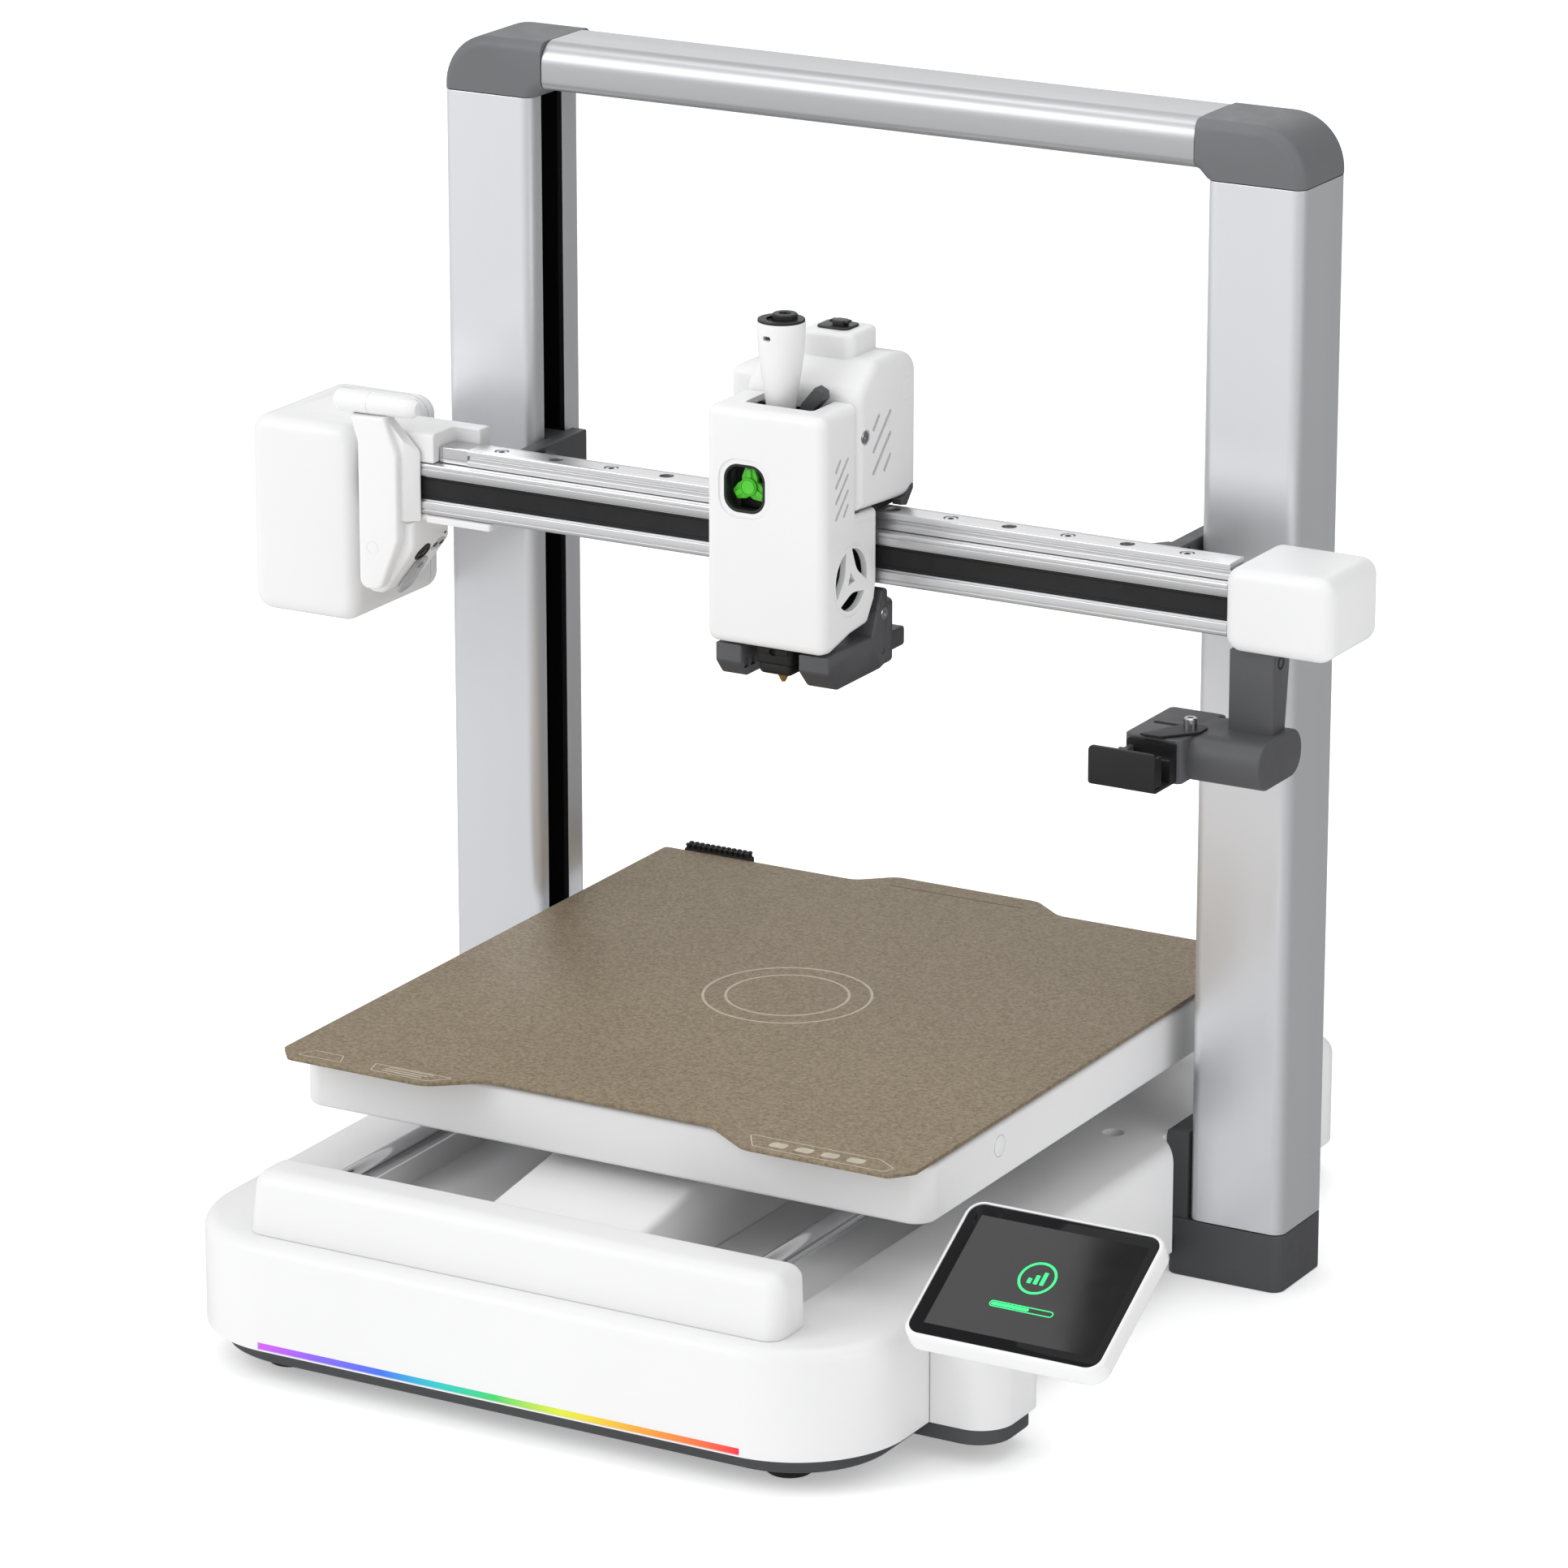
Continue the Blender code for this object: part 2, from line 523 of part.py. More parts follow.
def build_z_carriage(side, sign, gantry, back):
    """The bracket behind the rail, its arm beside the upright and the nut on the lead screw."""
    low, high = span(sign, 118.0, UPRIGHT_IN - 1.2)
    bracket = box("z_carriage_" + side, (low, back + GAP, 284.5), (high, back + 4.5, 304.0),
                  "dark_grey", gantry, bevel=0.5)
    arm_low, arm_high = span(sign, UPRIGHT_IN - 8.0, UPRIGHT_IN - 1.2)
    join(bracket, box("tool", (arm_low, back + 1.0, 284.0), (arm_high, 28.0, 304.5)))
    gusset = [(119.0, back + 2.0), (143.0, back + 2.0), (143.0, -3.0), (138.0, -3.0),
              (119.0, back + 12.0)]
    join(bracket, prism("tool", sided(gusset, sign), "z", 288.0, 301.0))
    tongue_low, tongue_high = span(sign, UPRIGHT_IN - 3.0, SCREW_X - 5.0)
    join(bracket, tool_box((tongue_low, SLOT[0] + 1.4, 287.0), (tongue_high, SLOT[1] - 1.4, 302.0)))
    join(bracket, cylinder("tool", (SCREW_X * sign, SCREW_Y), 9.0, 286.0, 303.0))
    cut(bracket, cylinder("tool", (SCREW_X * sign, SCREW_Y), SCREW_R + 0.5, 270.0, 320.0),
        prism("tool", sided([(122.0, 289.0), (136.0, 289.0), (136.0, 300.0)], sign), "y",
              back - 2.0, back + 10.0))


def build_camera(gantry):
    body = [(-196.7, 308.0), (-178.0, 308.0, 4.0), (-168.5, 297.0, 3.0), (-168.5, 269.0, 3.0),
            (-183.0, 248.5, 4.0), (-196.7, 248.5, 5.0)]
    arm = prism("camera_arm", body, "y", -63.0, -58.0, "white", gantry, bevel=1.0)
    lower = [(-196.0, 280.4), (-168.9, 280.4), (-168.9, 269.2, 2.0), (-183.0, 249.3, 3.0),
             (-196.0, 249.3, 3.0)]
    neck = [(-198.0, 326.0, 2.0), (-176.0, 326.0, 2.0), (-181.0, 306.0), (-194.0, 306.0)]
    join(arm, prism("tool", lower, "y", -60.0, -34.0, bevel=1.5),
         prism("tool", neck, "y", -63.4, -58.6, bevel=1.0),
         cylinder("tool", (-61.0, 325.0), 5.5, -205.0, -168.0, "x", bevel=1.5))

    slope = Vector((20.2, 0.0, -14.3)).normalized()
    pin = Vector((-175.7, -48.0, 259.0)) + slope * 0.4
    across = Vector((0.0, 1.0, 0.0))
    down = slope.cross(across).normalized()
    if down.z > 0:
        down = -down
    bm = bmesh.new()
    outline = fillet([(-4.0, -3.5, 3.9), (4.0, -3.5, 3.9), (6.0, 16.0, 5.5), (-6.0, 16.0, 5.5)], 4)
    rings = []
    for level in (0.0, 1.2):
        rings.append([bm.verts.new(pin + across * p.x + down * p.y + slope * level)
                      for p in outline])
    bm.faces.new(rings[0])
    bm.faces.new(rings[1])
    for i in range(len(outline)):
        j = (i + 1) % len(outline)
        bm.faces.new((rings[0][i], rings[0][j], rings[1][j], rings[1][i]))
    finish_mesh("lens_cover", bm, "lens_clear", gantry, tuple(pin))


def build_wiper(gantry):
    """The grey post under the right end of the rail and the scraper it carries."""
    arm = box("wiper_arm", (190.5, -56.0, 240.0), (209.0, -41.0, END_CAP[0][2] - GAP), "dark_grey",
              gantry, bevel=1.0, radius=3.0)
    join(arm, box("tool", (178.5, -73.5, 229.0), (212.0, -36.0, 247.6), bevel=0.6, radius=8.5,
                  axis="x", steps=6),
         box("tool", (158.0, -78.0, 230.0), (182.0, -38.5, 247.3), bevel=0.8))
    bracket = prism("wiper_bracket", [(152.3, -96.5, 0.5), (180.3, -96.5, 0.5), (180.3, -78.3),
                                      (178.8, -78.3), (178.8, -95.0), (153.8, -95.0),
                                      (153.8, -92.0), (152.3, -92.0)],
                    "z", 231.0, 246.5, "black", gantry)
    join(bracket, tool_box((160.0, -79.5, 231.5), (180.3, -78.3, 246.2)))


# Print head -----------------------------------------------------------------------------------
def build_head(head):
    (x0, y0, z0), (x1, y1, z1) = HEAD
    side = [(y0, z0 + 1.0, 3.0), (-96.0, z0, 4.0), (-80.0, 268.8, 6.0), (-67.0, 270.0, 2.0),
            (-61.0, 279.0), (y1, 286.0), (y1, 314.9), (HEAD_SPLIT, 315.9),
            (HEAD_SPLIT, z1), (y0, z1, 4.0)]
    shell = prism("head_front_shell", side, "x", x0, x1, "white", head, bevel=3.0, steps=3)
    cut(shell, tool_box((x0 + 2.5, y0 + 2.5, 274.0), (x1 - 2.5, -40.0, 313.2)),
        tool_box((x0 + 2.8, y0 + 2.8, 300.0), (x1 - 2.8, -70.0, z1 - 2.5)),
        tool_box((-6.0, -99.0, 240.0), (39.0, -72.0, 280.0)),
        tool_box((2.0, -93.0, z1 - 10.0), (32.0, -69.0, z1 + 10.0)),
        tool_box((WINDOW[0] - 8.5, y0 - 5.0, WINDOW[1] - 9.0),
                 (WINDOW[0] + 8.5, y0 + 5.0, WINDOW[1] + 9.0), 5.5, "y"))
    for k in range(3):
        middle = math.radians(30 + 120 * k)
        wedge = []
        for radius, spread in ((11.6, -0.85), (11.6, -0.42), (11.6, 0.0), (11.6, 0.42),
                               (11.6, 0.85), (3.6, 0.35), (3.6, -0.35)):
            wedge.append((FAN[0] + radius * math.cos(middle + spread),
                          FAN[1] + radius * math.sin(middle + spread)))
        cut(shell, prism("tool", wedge, "x", x1 - 6.0, x1 + 5.0))

    back = [(HEAD_SPLIT + GAP, 316.5), (-29.5, 313.5, 2.0), (-29.5, 370.0, 9.0),
            (-46.0, REAR_SHELL_TOP + 2.0, 6.0), (-62.0, REAR_SHELL_TOP + 2.0, 4.0),
            (-74.0, 363.0, 5.0), (HEAD_SPLIT + GAP, 359.0)]
    rear = prism("head_rear_shell", back, "x", -8.0, x1, "white", head, bevel=3.5)
    cut(rear, prism("tool", [(-90.0, 300.0), (-32.0, 300.0), (-32.0, 365.0), (-70.0, 365.0),
                             (-72.5, 355.0), (-90.0, 355.0)], "x", -5.5, x1 - 2.5))
    join(rear, box("tool", (-20.0, -66.0, 350.0), (-6.0, -40.0, 365.0), bevel=3.0),
         box("tool", (9.0, -63.0, 366.0), (32.0, -41.0, 382.0), bevel=2.0, radius=3.0))

    turned("filament_funnel", [(5.8, 350.0), (6.4, 358.0), (8.4, 376.0), (9.3, 380.0),
                               (9.3, 391.0), (7.6, 391.0), (7.6, 384.0), (3.0, 376.0),
                               (2.0, 352.0)], (13.2, -84.0), "white", head)
    chassis = box("x_carriage", (-4.0, -56.5, GUIDE_TOP + 0.5), (38.0, -38.5, 323.0), "black",
                  head, bevel=0.5)
    join(chassis, tool_box((-4.0, -59.2, 286.0), (38.0, -57.9, 323.0)),
         tool_box((-4.0, -60.0, 316.0), (38.0, -55.0, 323.0)),
         tool_box((0.0, -92.0, 304.5), (32.0, -59.0, 312.9)),
         tool_box((0.0, -92.0, 311.0), (34.0, -77.0, 345.0)),
         tool_box((2.0, -70.0, 320.0), (36.0, -36.0, 352.0)))
    hot = box("hot_end", (9.0, -97.0, 258.0), (25.0, -81.0, 268.0), "black", head, bevel=0.5)
    join(hot, cylinder("tool", NOZZLE[:2], 2.5, 266.0, 276.0),
         cylinder("tool", NOZZLE[:2], 8.0, 275.0, 299.6, bevel=1.0))
    turned("nozzle", [(0.6, NOZZLE[2]), (2.2, NOZZLE[2] + 3.0), (3.6, NOZZLE[2] + 4.4),
                      (3.6, 257.7)], NOZZLE[:2], "brass", head, 12)

    duct = prism("fan_duct", [(-99.0, 258.0, 2.0), (-92.0, 250.0, 3.0), (-60.0, 250.0, 4.0),
                              (-36.0, 253.0, 1.0), (-36.0, 261.0, 1.0), (-44.5, 263.0),
                              (-44.5, 276.0, 2.0), (-56.0, 282.0, 2.0), (-59.0, 276.0),
                              (-64.0, 264.4), (-99.0, 264.4)], "x", 29.0, 42.3, "dark_grey",
                 head, bevel=1.2)
    join(duct, tool_box((-7.5, -78.0, 254.0), (31.0, -66.0, 264.4)),
         prism("tool", [(-99.0, 257.0, 2.0), (-94.0, 251.0, 2.0), (-66.0, 251.0), (-66.0, 264.4),
                        (-99.0, 264.4)], "x", -7.5, 4.0, bevel=1.0))

    blades = cylinder("part_fan", FAN, 4.0, 33.0, 38.6, "x", "black", head,
                      pivot=(36.0, *FAN))
    for k in range(7):
        angle = 2 * math.pi * k / 7
        blade = [(3.0, -0.7), (11.0, 1.6), (11.4, 3.0), (3.0, 0.7)]
        turned_blade = [(FAN[0] + a * math.cos(angle) - b * math.sin(angle),
                         FAN[1] + a * math.sin(angle) + b * math.cos(angle)) for a, b in blade]
        join(blades, prism("tool", turned_blade, "x", 33.5, 38.0))

    wheel = cylinder("filament_spinner", WINDOW, 2.6, y0 + 3.0, y0 + 8.0, "y", "green", head,
                     pivot=(WINDOW[0], y0 + 6.0, WINDOW[1]))
    for k in range(3):
        angle = math.radians(90 + 120 * k)
        lobe = [(0.0, -1.8), (5.5, -2.4), (7.6, -1.6), (7.6, 1.6), (5.5, 2.4), (0.0, 1.8)]
        arm = [(WINDOW[0] + a * math.cos(angle) - b * math.sin(angle),
                WINDOW[1] + a * math.sin(angle) + b * math.cos(angle)) for a, b in lobe]
        join(wheel, prism("tool", arm, "y", y0 + 3.6, y0 + 7.0))
    prism("release_lever", [(-81.0, 350.0, 1.5), (-77.0, 350.0, 1.5), (-76.4, 354.0),
                            (-85.0, 366.0, 1.0), (-90.0, 366.5, 1.0), (-81.5, 354.0)], "x",
          23.5, 30.0, "dark_grey", head, pivot=(26.7, -79.0, 352.0))


# Assembly -------------------------------------------------------------------------------------
def main():
    clear_scene()
    root = empty("printer", (0.0, 0.0, 0.0))
    bed = empty("bed_group", (0.0, 0.0, BED_LOW), root)
    plate = empty("plate_group", (0.0, 0.0, PLATE_TOP), bed)
    gantry = empty("gantry_group", (0.0, 0.0, RAIL_LOW), root)
    head = empty("head_group", (NOZZLE[0], RAIL_FRONT, RAIL_LOW), gantry)
    build_base(root)
    build_drive(root)
    build_portal(root)
    build_screen(root)
    build_bed(bed, plate)
    build_gantry(gantry)
    pulley("x_pulley", (-222.0, -38.0), 288.0, 300.5, "z", gantry)
    build_head(head)
    root.location = (-sum(FOOTPRINT_X) / 2 * MM, -sum(FOOTPRINT_Y) / 2 * MM, 0.0)
    bpy.context.view_layer.update()


main()
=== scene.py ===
"""Looks of the desktop FDM printer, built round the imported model.

Shapes are modelled in printer millimetres: x = 0 midway between the uprights, y = 0 at the uprights'
front face with -y towards the operator, z = 0 on the table. finish_piece() turns them into metres
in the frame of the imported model.
"""
import json
import math

import bmesh
import bpy
from mathutils import Matrix, Vector


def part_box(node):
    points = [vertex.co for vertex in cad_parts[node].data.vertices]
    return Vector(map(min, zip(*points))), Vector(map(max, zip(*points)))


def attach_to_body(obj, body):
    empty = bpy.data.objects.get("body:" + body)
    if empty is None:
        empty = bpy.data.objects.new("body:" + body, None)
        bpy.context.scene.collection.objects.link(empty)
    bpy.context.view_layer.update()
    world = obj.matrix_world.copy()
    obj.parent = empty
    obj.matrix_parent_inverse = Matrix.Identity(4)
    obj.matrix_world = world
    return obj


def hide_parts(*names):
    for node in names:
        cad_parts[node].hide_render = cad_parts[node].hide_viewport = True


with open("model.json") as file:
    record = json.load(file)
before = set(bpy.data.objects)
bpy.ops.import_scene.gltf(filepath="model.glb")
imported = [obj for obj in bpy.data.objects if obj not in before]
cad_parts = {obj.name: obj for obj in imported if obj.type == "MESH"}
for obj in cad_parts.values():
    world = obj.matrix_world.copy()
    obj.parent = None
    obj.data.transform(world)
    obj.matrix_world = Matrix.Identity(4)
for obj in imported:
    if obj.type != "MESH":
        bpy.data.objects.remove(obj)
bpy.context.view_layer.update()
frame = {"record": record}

MM = 0.001
LEFT_LOW, LEFT_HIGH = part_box("upright_left")
RIGHT_LOW, RIGHT_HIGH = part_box("upright_right")
ORIGIN = Vector(((LEFT_LOW.x + RIGHT_HIGH.x) / 2, LEFT_LOW.y, 0.0))
TO_METRES = Matrix.Translation(ORIGIN) @ Matrix.Scale(MM, 4)
RECORD = frame["record"]
BODY_OF = {n: body for body, nodes in RECORD["behaviour"]["bodies"].items() for n in nodes}
SIDES = (("left", -1), ("right", 1))
# Axes that several pieces share
FAN = (-81.5, 291.5)            # part fan, (y, z)
SCREW_X, SCREW_Y = 170.0, 16.5  # lift screws, at -SCREW_X and SCREW_X
SCREEN_HINGE = (-196.0, 76.0)   # screen, (y, z)
NOZZLE = (17.0, -89.0)          # nozzle, (x, y)


class Box:
    """The box of a CAD node in printer millimetres."""

    def __init__(self, node):
        low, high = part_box(node)
        self.low = (low - ORIGIN) / MM
        self.high = (high - ORIGIN) / MM
        self.x0, self.y0, self.z0 = self.low
        self.x1, self.y1, self.z1 = self.high
        self.cx, self.cy, self.cz = (self.low + self.high) / 2


# Shapes ---------------------------------------------------------------------------------------
def inset(points, depth):
    """The outline moved inwards by depth, with its rounded corners kept concentric."""
    corners = [Vector(point[:2]) for point in points]
    following = corners[1:] + corners[:1]
    area = sum(a.x * b.y - b.x * a.y for a, b in zip(corners, following))
    side = 1.0 if area > 0 else -1.0
    result = []
    for i, corner in enumerate(corners):
        before = (corner - corners[i - 1]).normalized()
        after = (following[i] - corner).normalized()
        from_before = Vector((-before.y, before.x)) * side
        from_after = Vector((-after.y, after.x)) * side
        mitre = (from_before + from_after) / (1.0 + from_before.dot(from_after))
        place = corner + mitre * depth
        if len(points[i]) == 2:
            result.append((place.x, place.y))
            continue
        convex = (before.x * after.y - before.y * after.x) * side > 0
        change = -depth if convex else depth
        result.append((place.x, place.y, max(points[i][2] + change, 0.0)))
    return result


def fillet(points, steps=8):
    """Round the corners of a closed outline; each point is (a, b) or (a, b, radius)."""
    result = []
    count = len(points)
    for i, point in enumerate(points):
        corner = Vector(point[:2])
        if len(point) == 2:
            result.append(corner)
            continue
        radius = point[2]
        before = (Vector(points[i - 1][:2]) - corner).normalized()
        after = (Vector(points[(i + 1) % count][:2]) - corner).normalized()
        half = before.angle(after) / 2
        centre = corner + (before + after).normalized() * (radius / math.sin(half))
        start = corner + before * (radius / math.tan(half)) - centre
        turn = math.pi - 2 * half
        if before.x * after.y - before.y * after.x > 0:
            turn = -turn
        for k in range(steps + 1):
            result.append(centre + Matrix.Rotation(turn * k / steps, 2) @ start)
    return result


def rectangle(a0, b0, a1, b1, radius=0.0):
    return [(a0, b0, radius), (a1, b0, radius), (a1, b1, radius), (a0, b1, radius)]


def circle(a, b, radius, steps=32):
    turn = 2 * math.pi / steps
    return [(a + radius * math.cos(turn * k), b + radius * math.sin(turn * k))
            for k in range(steps)]


def lift(axis, a, b, level):
    """A 2D point on a plane across axis: x takes (y, z), y takes (x, z), z takes (x, y)."""
    if axis == "x":
        return (level, a, b)
    if axis == "y":
        return (a, level, b)
    return (a, b, level)


def shape(bm):
    """An object, still in printer millimetres, from a bmesh."""
    bmesh.ops.remove_doubles(bm, verts=bm.verts, dist=1e-3)
    bmesh.ops.recalc_face_normals(bm, faces=bm.faces)
    mesh = bpy.data.meshes.new("shape")
    bm.to_mesh(mesh)
    bm.free()
    obj = bpy.data.objects.new("shape", mesh)
    bpy.context.collection.objects.link(obj)
    return obj


def loops(rings, ends=True):
    """A closed surface through rings of points; with ends, the first and last are capped."""
    bm = bmesh.new()
    verts = [[bm.verts.new(point) for point in ring] for ring in rings]
    pairs = list(zip(verts, verts[1:])) if ends else list(zip(verts, verts[1:] + verts[:1]))
    count = len(verts[0])
    for lower, upper in pairs:
        for i in range(count):
            j = (i + 1) % count
            bm.faces.new((lower[i], lower[j], upper[j], upper[i]))
    if ends:
        bm.faces.new(verts[0])
        bm.faces.new(verts[-1])
    return shape(bm)


def prism(points, axis, low, high, bevel=0.0, rims=(0, 1), steps=8, segments=4):
    """An outline extruded along axis, with its rims rounded by bevel."""
    bevel = min(bevel, 0.49 * (high - low))
    curve = [(0.0, 0.0)]
    if bevel > 0.0:
        turns = [math.pi / 2 * k / segments for k in range(segments + 1)]
        curve = [(bevel * (1 - math.sin(t)), bevel * (1 - math.cos(t))) for t in turns]
    lower = [(depth, low + rise) for depth, rise in (curve if 0 in rims else [(0.0, 0.0)])]
    upper = [(depth, high - rise) for depth, rise in (curve if 1 in rims else [(0.0, 0.0)])]
    return loops([[lift(axis, p[0], p[1], level) for p in fillet(inset(points, depth), steps)]
                  for depth, level in lower + upper[::-1]])


def box(low, high, bevel=0.0, radius=0.0, axis="z", steps=8, segments=4):
    """A box with its edges along axis rounded by radius and its rims by bevel."""
    k = "xyz".index(axis)
    i, j = [n for n in range(3) if n != k]
    return prism(rectangle(low[i], low[j], high[i], high[j], radius), axis, low[k], high[k],
                 bevel, steps=steps, segments=segments)


def cylinder(centre, radius, low, high, axis="z", steps=32, bevel=0.0):
    return prism(circle(*centre, radius, steps), axis, low, high, bevel, segments=2)


def turned(profile, centre, axis="z", steps=32):
    """A solid turned about axis through centre; profile is (radius, level), first to last."""
    return loops([[lift(axis, a, b, level) for a, b in circle(*centre, max(radius, 0.01), steps)]
                  for radius, level in profile])


def gather(shapes):
    """Join shapes that don't touch each other into one mesh."""
    target = shapes[0]
    bm = bmesh.new()
    for obj in shapes:
        bm.from_mesh(obj.data)
    bm.to_mesh(target.data)
    bm.free()
    for obj in shapes[1:]:
        bpy.data.objects.remove(obj, do_unlink=True)
    return target


def row(count, step, low, high, **options):
    """Equal boxes in a row, each moved on by step, as one mesh."""
    return gather([box([a + s * k for a, s in zip(low, step)],
                       [b + s * k for b, s in zip(high, step)], **options)
                   for k in range(count)])


def boolean(target, tool, operation):
    modifier = target.modifiers.new("boolean", "BOOLEAN")
    modifier.operation = operation
    modifier.solver = "EXACT"
    modifier.object = tool
    graph = bpy.context.evaluated_depsgraph_get()
    mesh = bpy.data.meshes.new_from_object(target.evaluated_get(graph))
    target.modifiers.remove(modifier)
    target.data = mesh
    bpy.data.objects.remove(tool, do_unlink=True)


def carve(target, *tools):
    for tool in tools:
        boolean(target, tool, "DIFFERENCE")
    return target


def fuse(target, *tools):
    for tool in tools:
        boolean(target, tool, "UNION")
    return target


def band(points, width, level, height, axis="z", steps=8, spare=0.0):
    """A closed band inside an outline; grooves use spare to start outside the surface."""
    outer, inner = [fillet(inset(points, depth), steps) for depth in (-spare, width)]
    corners = ((outer, level), (outer, level + height), (inner, level + height), (inner, level))
    return loops([[lift(axis, p[0], p[1], z) for p in outline] for outline, z in corners],
                 ends=False)


def moved(obj, matrix):
    obj.data.transform(matrix)
    return obj


def mirrored(points):
    return [(-p[0], *p[1:]) for p in reversed(points)]


def sided(points, sign):
    return points if sign > 0 else mirrored(points)


def span(sign, near, far):
    return (near, far) if sign > 0 else (-far, -near)


def finish_piece(obj, name, node, material, replaces=True, soften=0.35, segments=2, angle=32):
    """Make a shape into a finished piece that rides with a node and may stand for it."""
    obj.name = name
    obj.data.name = name
    obj.data.transform(TO_METRES)
    if not obj.data.materials:
        obj.data.materials.append(None)
    obj.data.materials[0] = material
    obj.data.shade_smooth()
    obj.data.set_sharp_from_angle(angle=math.radians(angle))
    if soften > 0.0:
        bevel = obj.modifiers.new("soften", "BEVEL")
        bevel.width = soften * MM
        bevel.segments = segments
        bevel.limit_method = "ANGLE"
        bevel.angle_limit = math.radians(angle)
        bevel.miter_outer = "MITER_ARC"
        bevel.harden_normals = True
    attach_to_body(obj, BODY_OF[node])
    if replaces:
        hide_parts(node)
    return obj


def attach(obj, name, node, material, soften=0.0, **options):
    """A detail that goes with a node without standing for it."""
    return finish_piece(obj, name, node, material, replaces=False, soften=soften, **options)


# Materials ------------------------------------------------------------------------------------
def node_of(tree, kind, **inputs):
    node = tree.nodes.new(kind)
    for key, value in inputs.items():
        node.inputs[key.replace("_", " ")].default_value = value
    return node


def noise(tree, scale, detail=3.0, stretch=(1.0, 1.0, 1.0), roughness=0.5):
    """Noise in object space; scale counts features per metre."""
    coordinates = tree.nodes.new("ShaderNodeTexCoord")
    mapping = node_of(tree, "ShaderNodeMapping", Scale=stretch)
    texture = node_of(tree, "ShaderNodeTexNoise", Scale=scale, Detail=detail, Roughness=roughness)
    tree.links.new(coordinates.outputs["Object"], mapping.inputs["Vector"])
    tree.links.new(mapping.outputs["Vector"], texture.inputs["Vector"])
    return texture.outputs["Fac"]


def spread(tree, value, low, high, source=(0.3, 0.7)):
    """Map a 0..1 noise onto a range."""
    node = node_of(tree, "ShaderNodeMapRange")
    node.inputs["From Min"].default_value = source[0]
    node.inputs["From Max"].default_value = source[1]
    node.inputs["To Min"].default_value = low
    node.inputs["To Max"].default_value = high
    tree.links.new(value, node.inputs["Value"])
    return node.outputs["Result"]


def tint(tree, value, first, second, source=(0.3, 0.7)):
    """Blend two colours by a noise."""
    ramp = tree.nodes.new("ShaderNodeValToRGB")
    ramp.color_ramp.elements[0].position = source[0]
    ramp.color_ramp.elements[1].position = source[1]
    ramp.color_ramp.elements[0].color = (*first, 1.0)
    ramp.color_ramp.elements[1].color = (*second, 1.0)
    tree.links.new(value, ramp.inputs["Fac"])
    return ramp.outputs["Color"]


def edge_wear(tree, colour, worn, amount):
    """Lighten the convex edges a little."""
    geometry = tree.nodes.new("ShaderNodeNewGeometry")
    edge = spread(tree, geometry.outputs["Pointiness"], 0.0, amount, (0.52, 0.60))
    mix = tree.nodes.new("ShaderNodeMix")
    mix.data_type = "RGBA"
    tree.links.new(edge, mix.inputs["Factor"])
    tree.links.new(colour, mix.inputs["A"])
    mix.inputs["B"].default_value = (*worn, 1.0)
    return mix.outputs["Result"]


def new_material(name, slot):
    """A material of a slot, with its node tree and shader."""
    material = bpy.data.materials.new(name)
    material.use_nodes = True
    material["slot"] = slot
    return material, material.node_tree, material.node_tree.nodes["Principled BSDF"]


def surface(name, slot, colour, roughness, metallic=0.0, vary=0.04, rough_vary=0.05,
            grain=2500.0, bump=0.00002, patch=18.0, stretch=(1.0, 1.0, 1.0), wear=0.0, **constants):
    """A material with colour drift, uneven gloss and a moulded, brushed or powdery grain."""
    material, tree, shader = new_material(name, slot)
    shader.inputs["Metallic"].default_value = metallic
    for key, value in constants.items():
        shader.inputs[key.replace("_", " ")].default_value = value
    darker = tuple(c * (1.0 - vary) for c in colour)
    lighter = tuple(min(c * (1.0 + vary), 0.95) for c in colour)
    base = tint(tree, noise(tree, patch, 2.0, stretch), darker, lighter)
    if wear > 0.0:
        base = edge_wear(tree, base, tuple(min(c * 2.2 + 0.02, 0.9) for c in colour), wear)
    tree.links.new(base, shader.inputs["Base Color"])
    uneven = spread(tree, noise(tree, patch * 6.0, 4.0, stretch), roughness - rough_vary,
                    roughness + rough_vary)
    tree.links.new(uneven, shader.inputs["Roughness"])
    relief = node_of(tree, "ShaderNodeBump", Strength=0.6, Distance=bump)
    tree.links.new(noise(tree, grain, 2.0, stretch), relief.inputs["Height"])
    tree.links.new(relief.outputs["Normal"], shader.inputs["Normal"])
    return material


def plate_material():
    """Powder-textured bronze sheet: two sizes of grain, speckled colour and a dull metal gloss."""
    material, tree, shader = new_material("bronze_powder_sheet", "textured_spring_steel")
    shader.inputs["Metallic"].default_value = 0.35
    coarse = noise(tree, 620.0, 3.0, roughness=0.65)
    base = tint(tree, coarse, (0.19, 0.145, 0.088), (0.34, 0.275, 0.19), (0.32, 0.68))
    tree.links.new(base, shader.inputs["Base Color"])
    tree.links.new(spread(tree, noise(tree, 900.0), 0.42, 0.66), shader.inputs["Roughness"])
    relief = node_of(tree, "ShaderNodeBump", Strength=0.75, Distance=0.00012)
    tree.links.new(coarse, relief.inputs["Height"])
    fine = node_of(tree, "ShaderNodeBump", Strength=0.5, Distance=0.00004)
    tree.links.new(noise(tree, 2600.0, 2.0), fine.inputs["Height"])
    tree.links.new(relief.outputs["Normal"], fine.inputs["Normal"])
    tree.links.new(fine.outputs["Normal"], shader.inputs["Normal"])
    return material


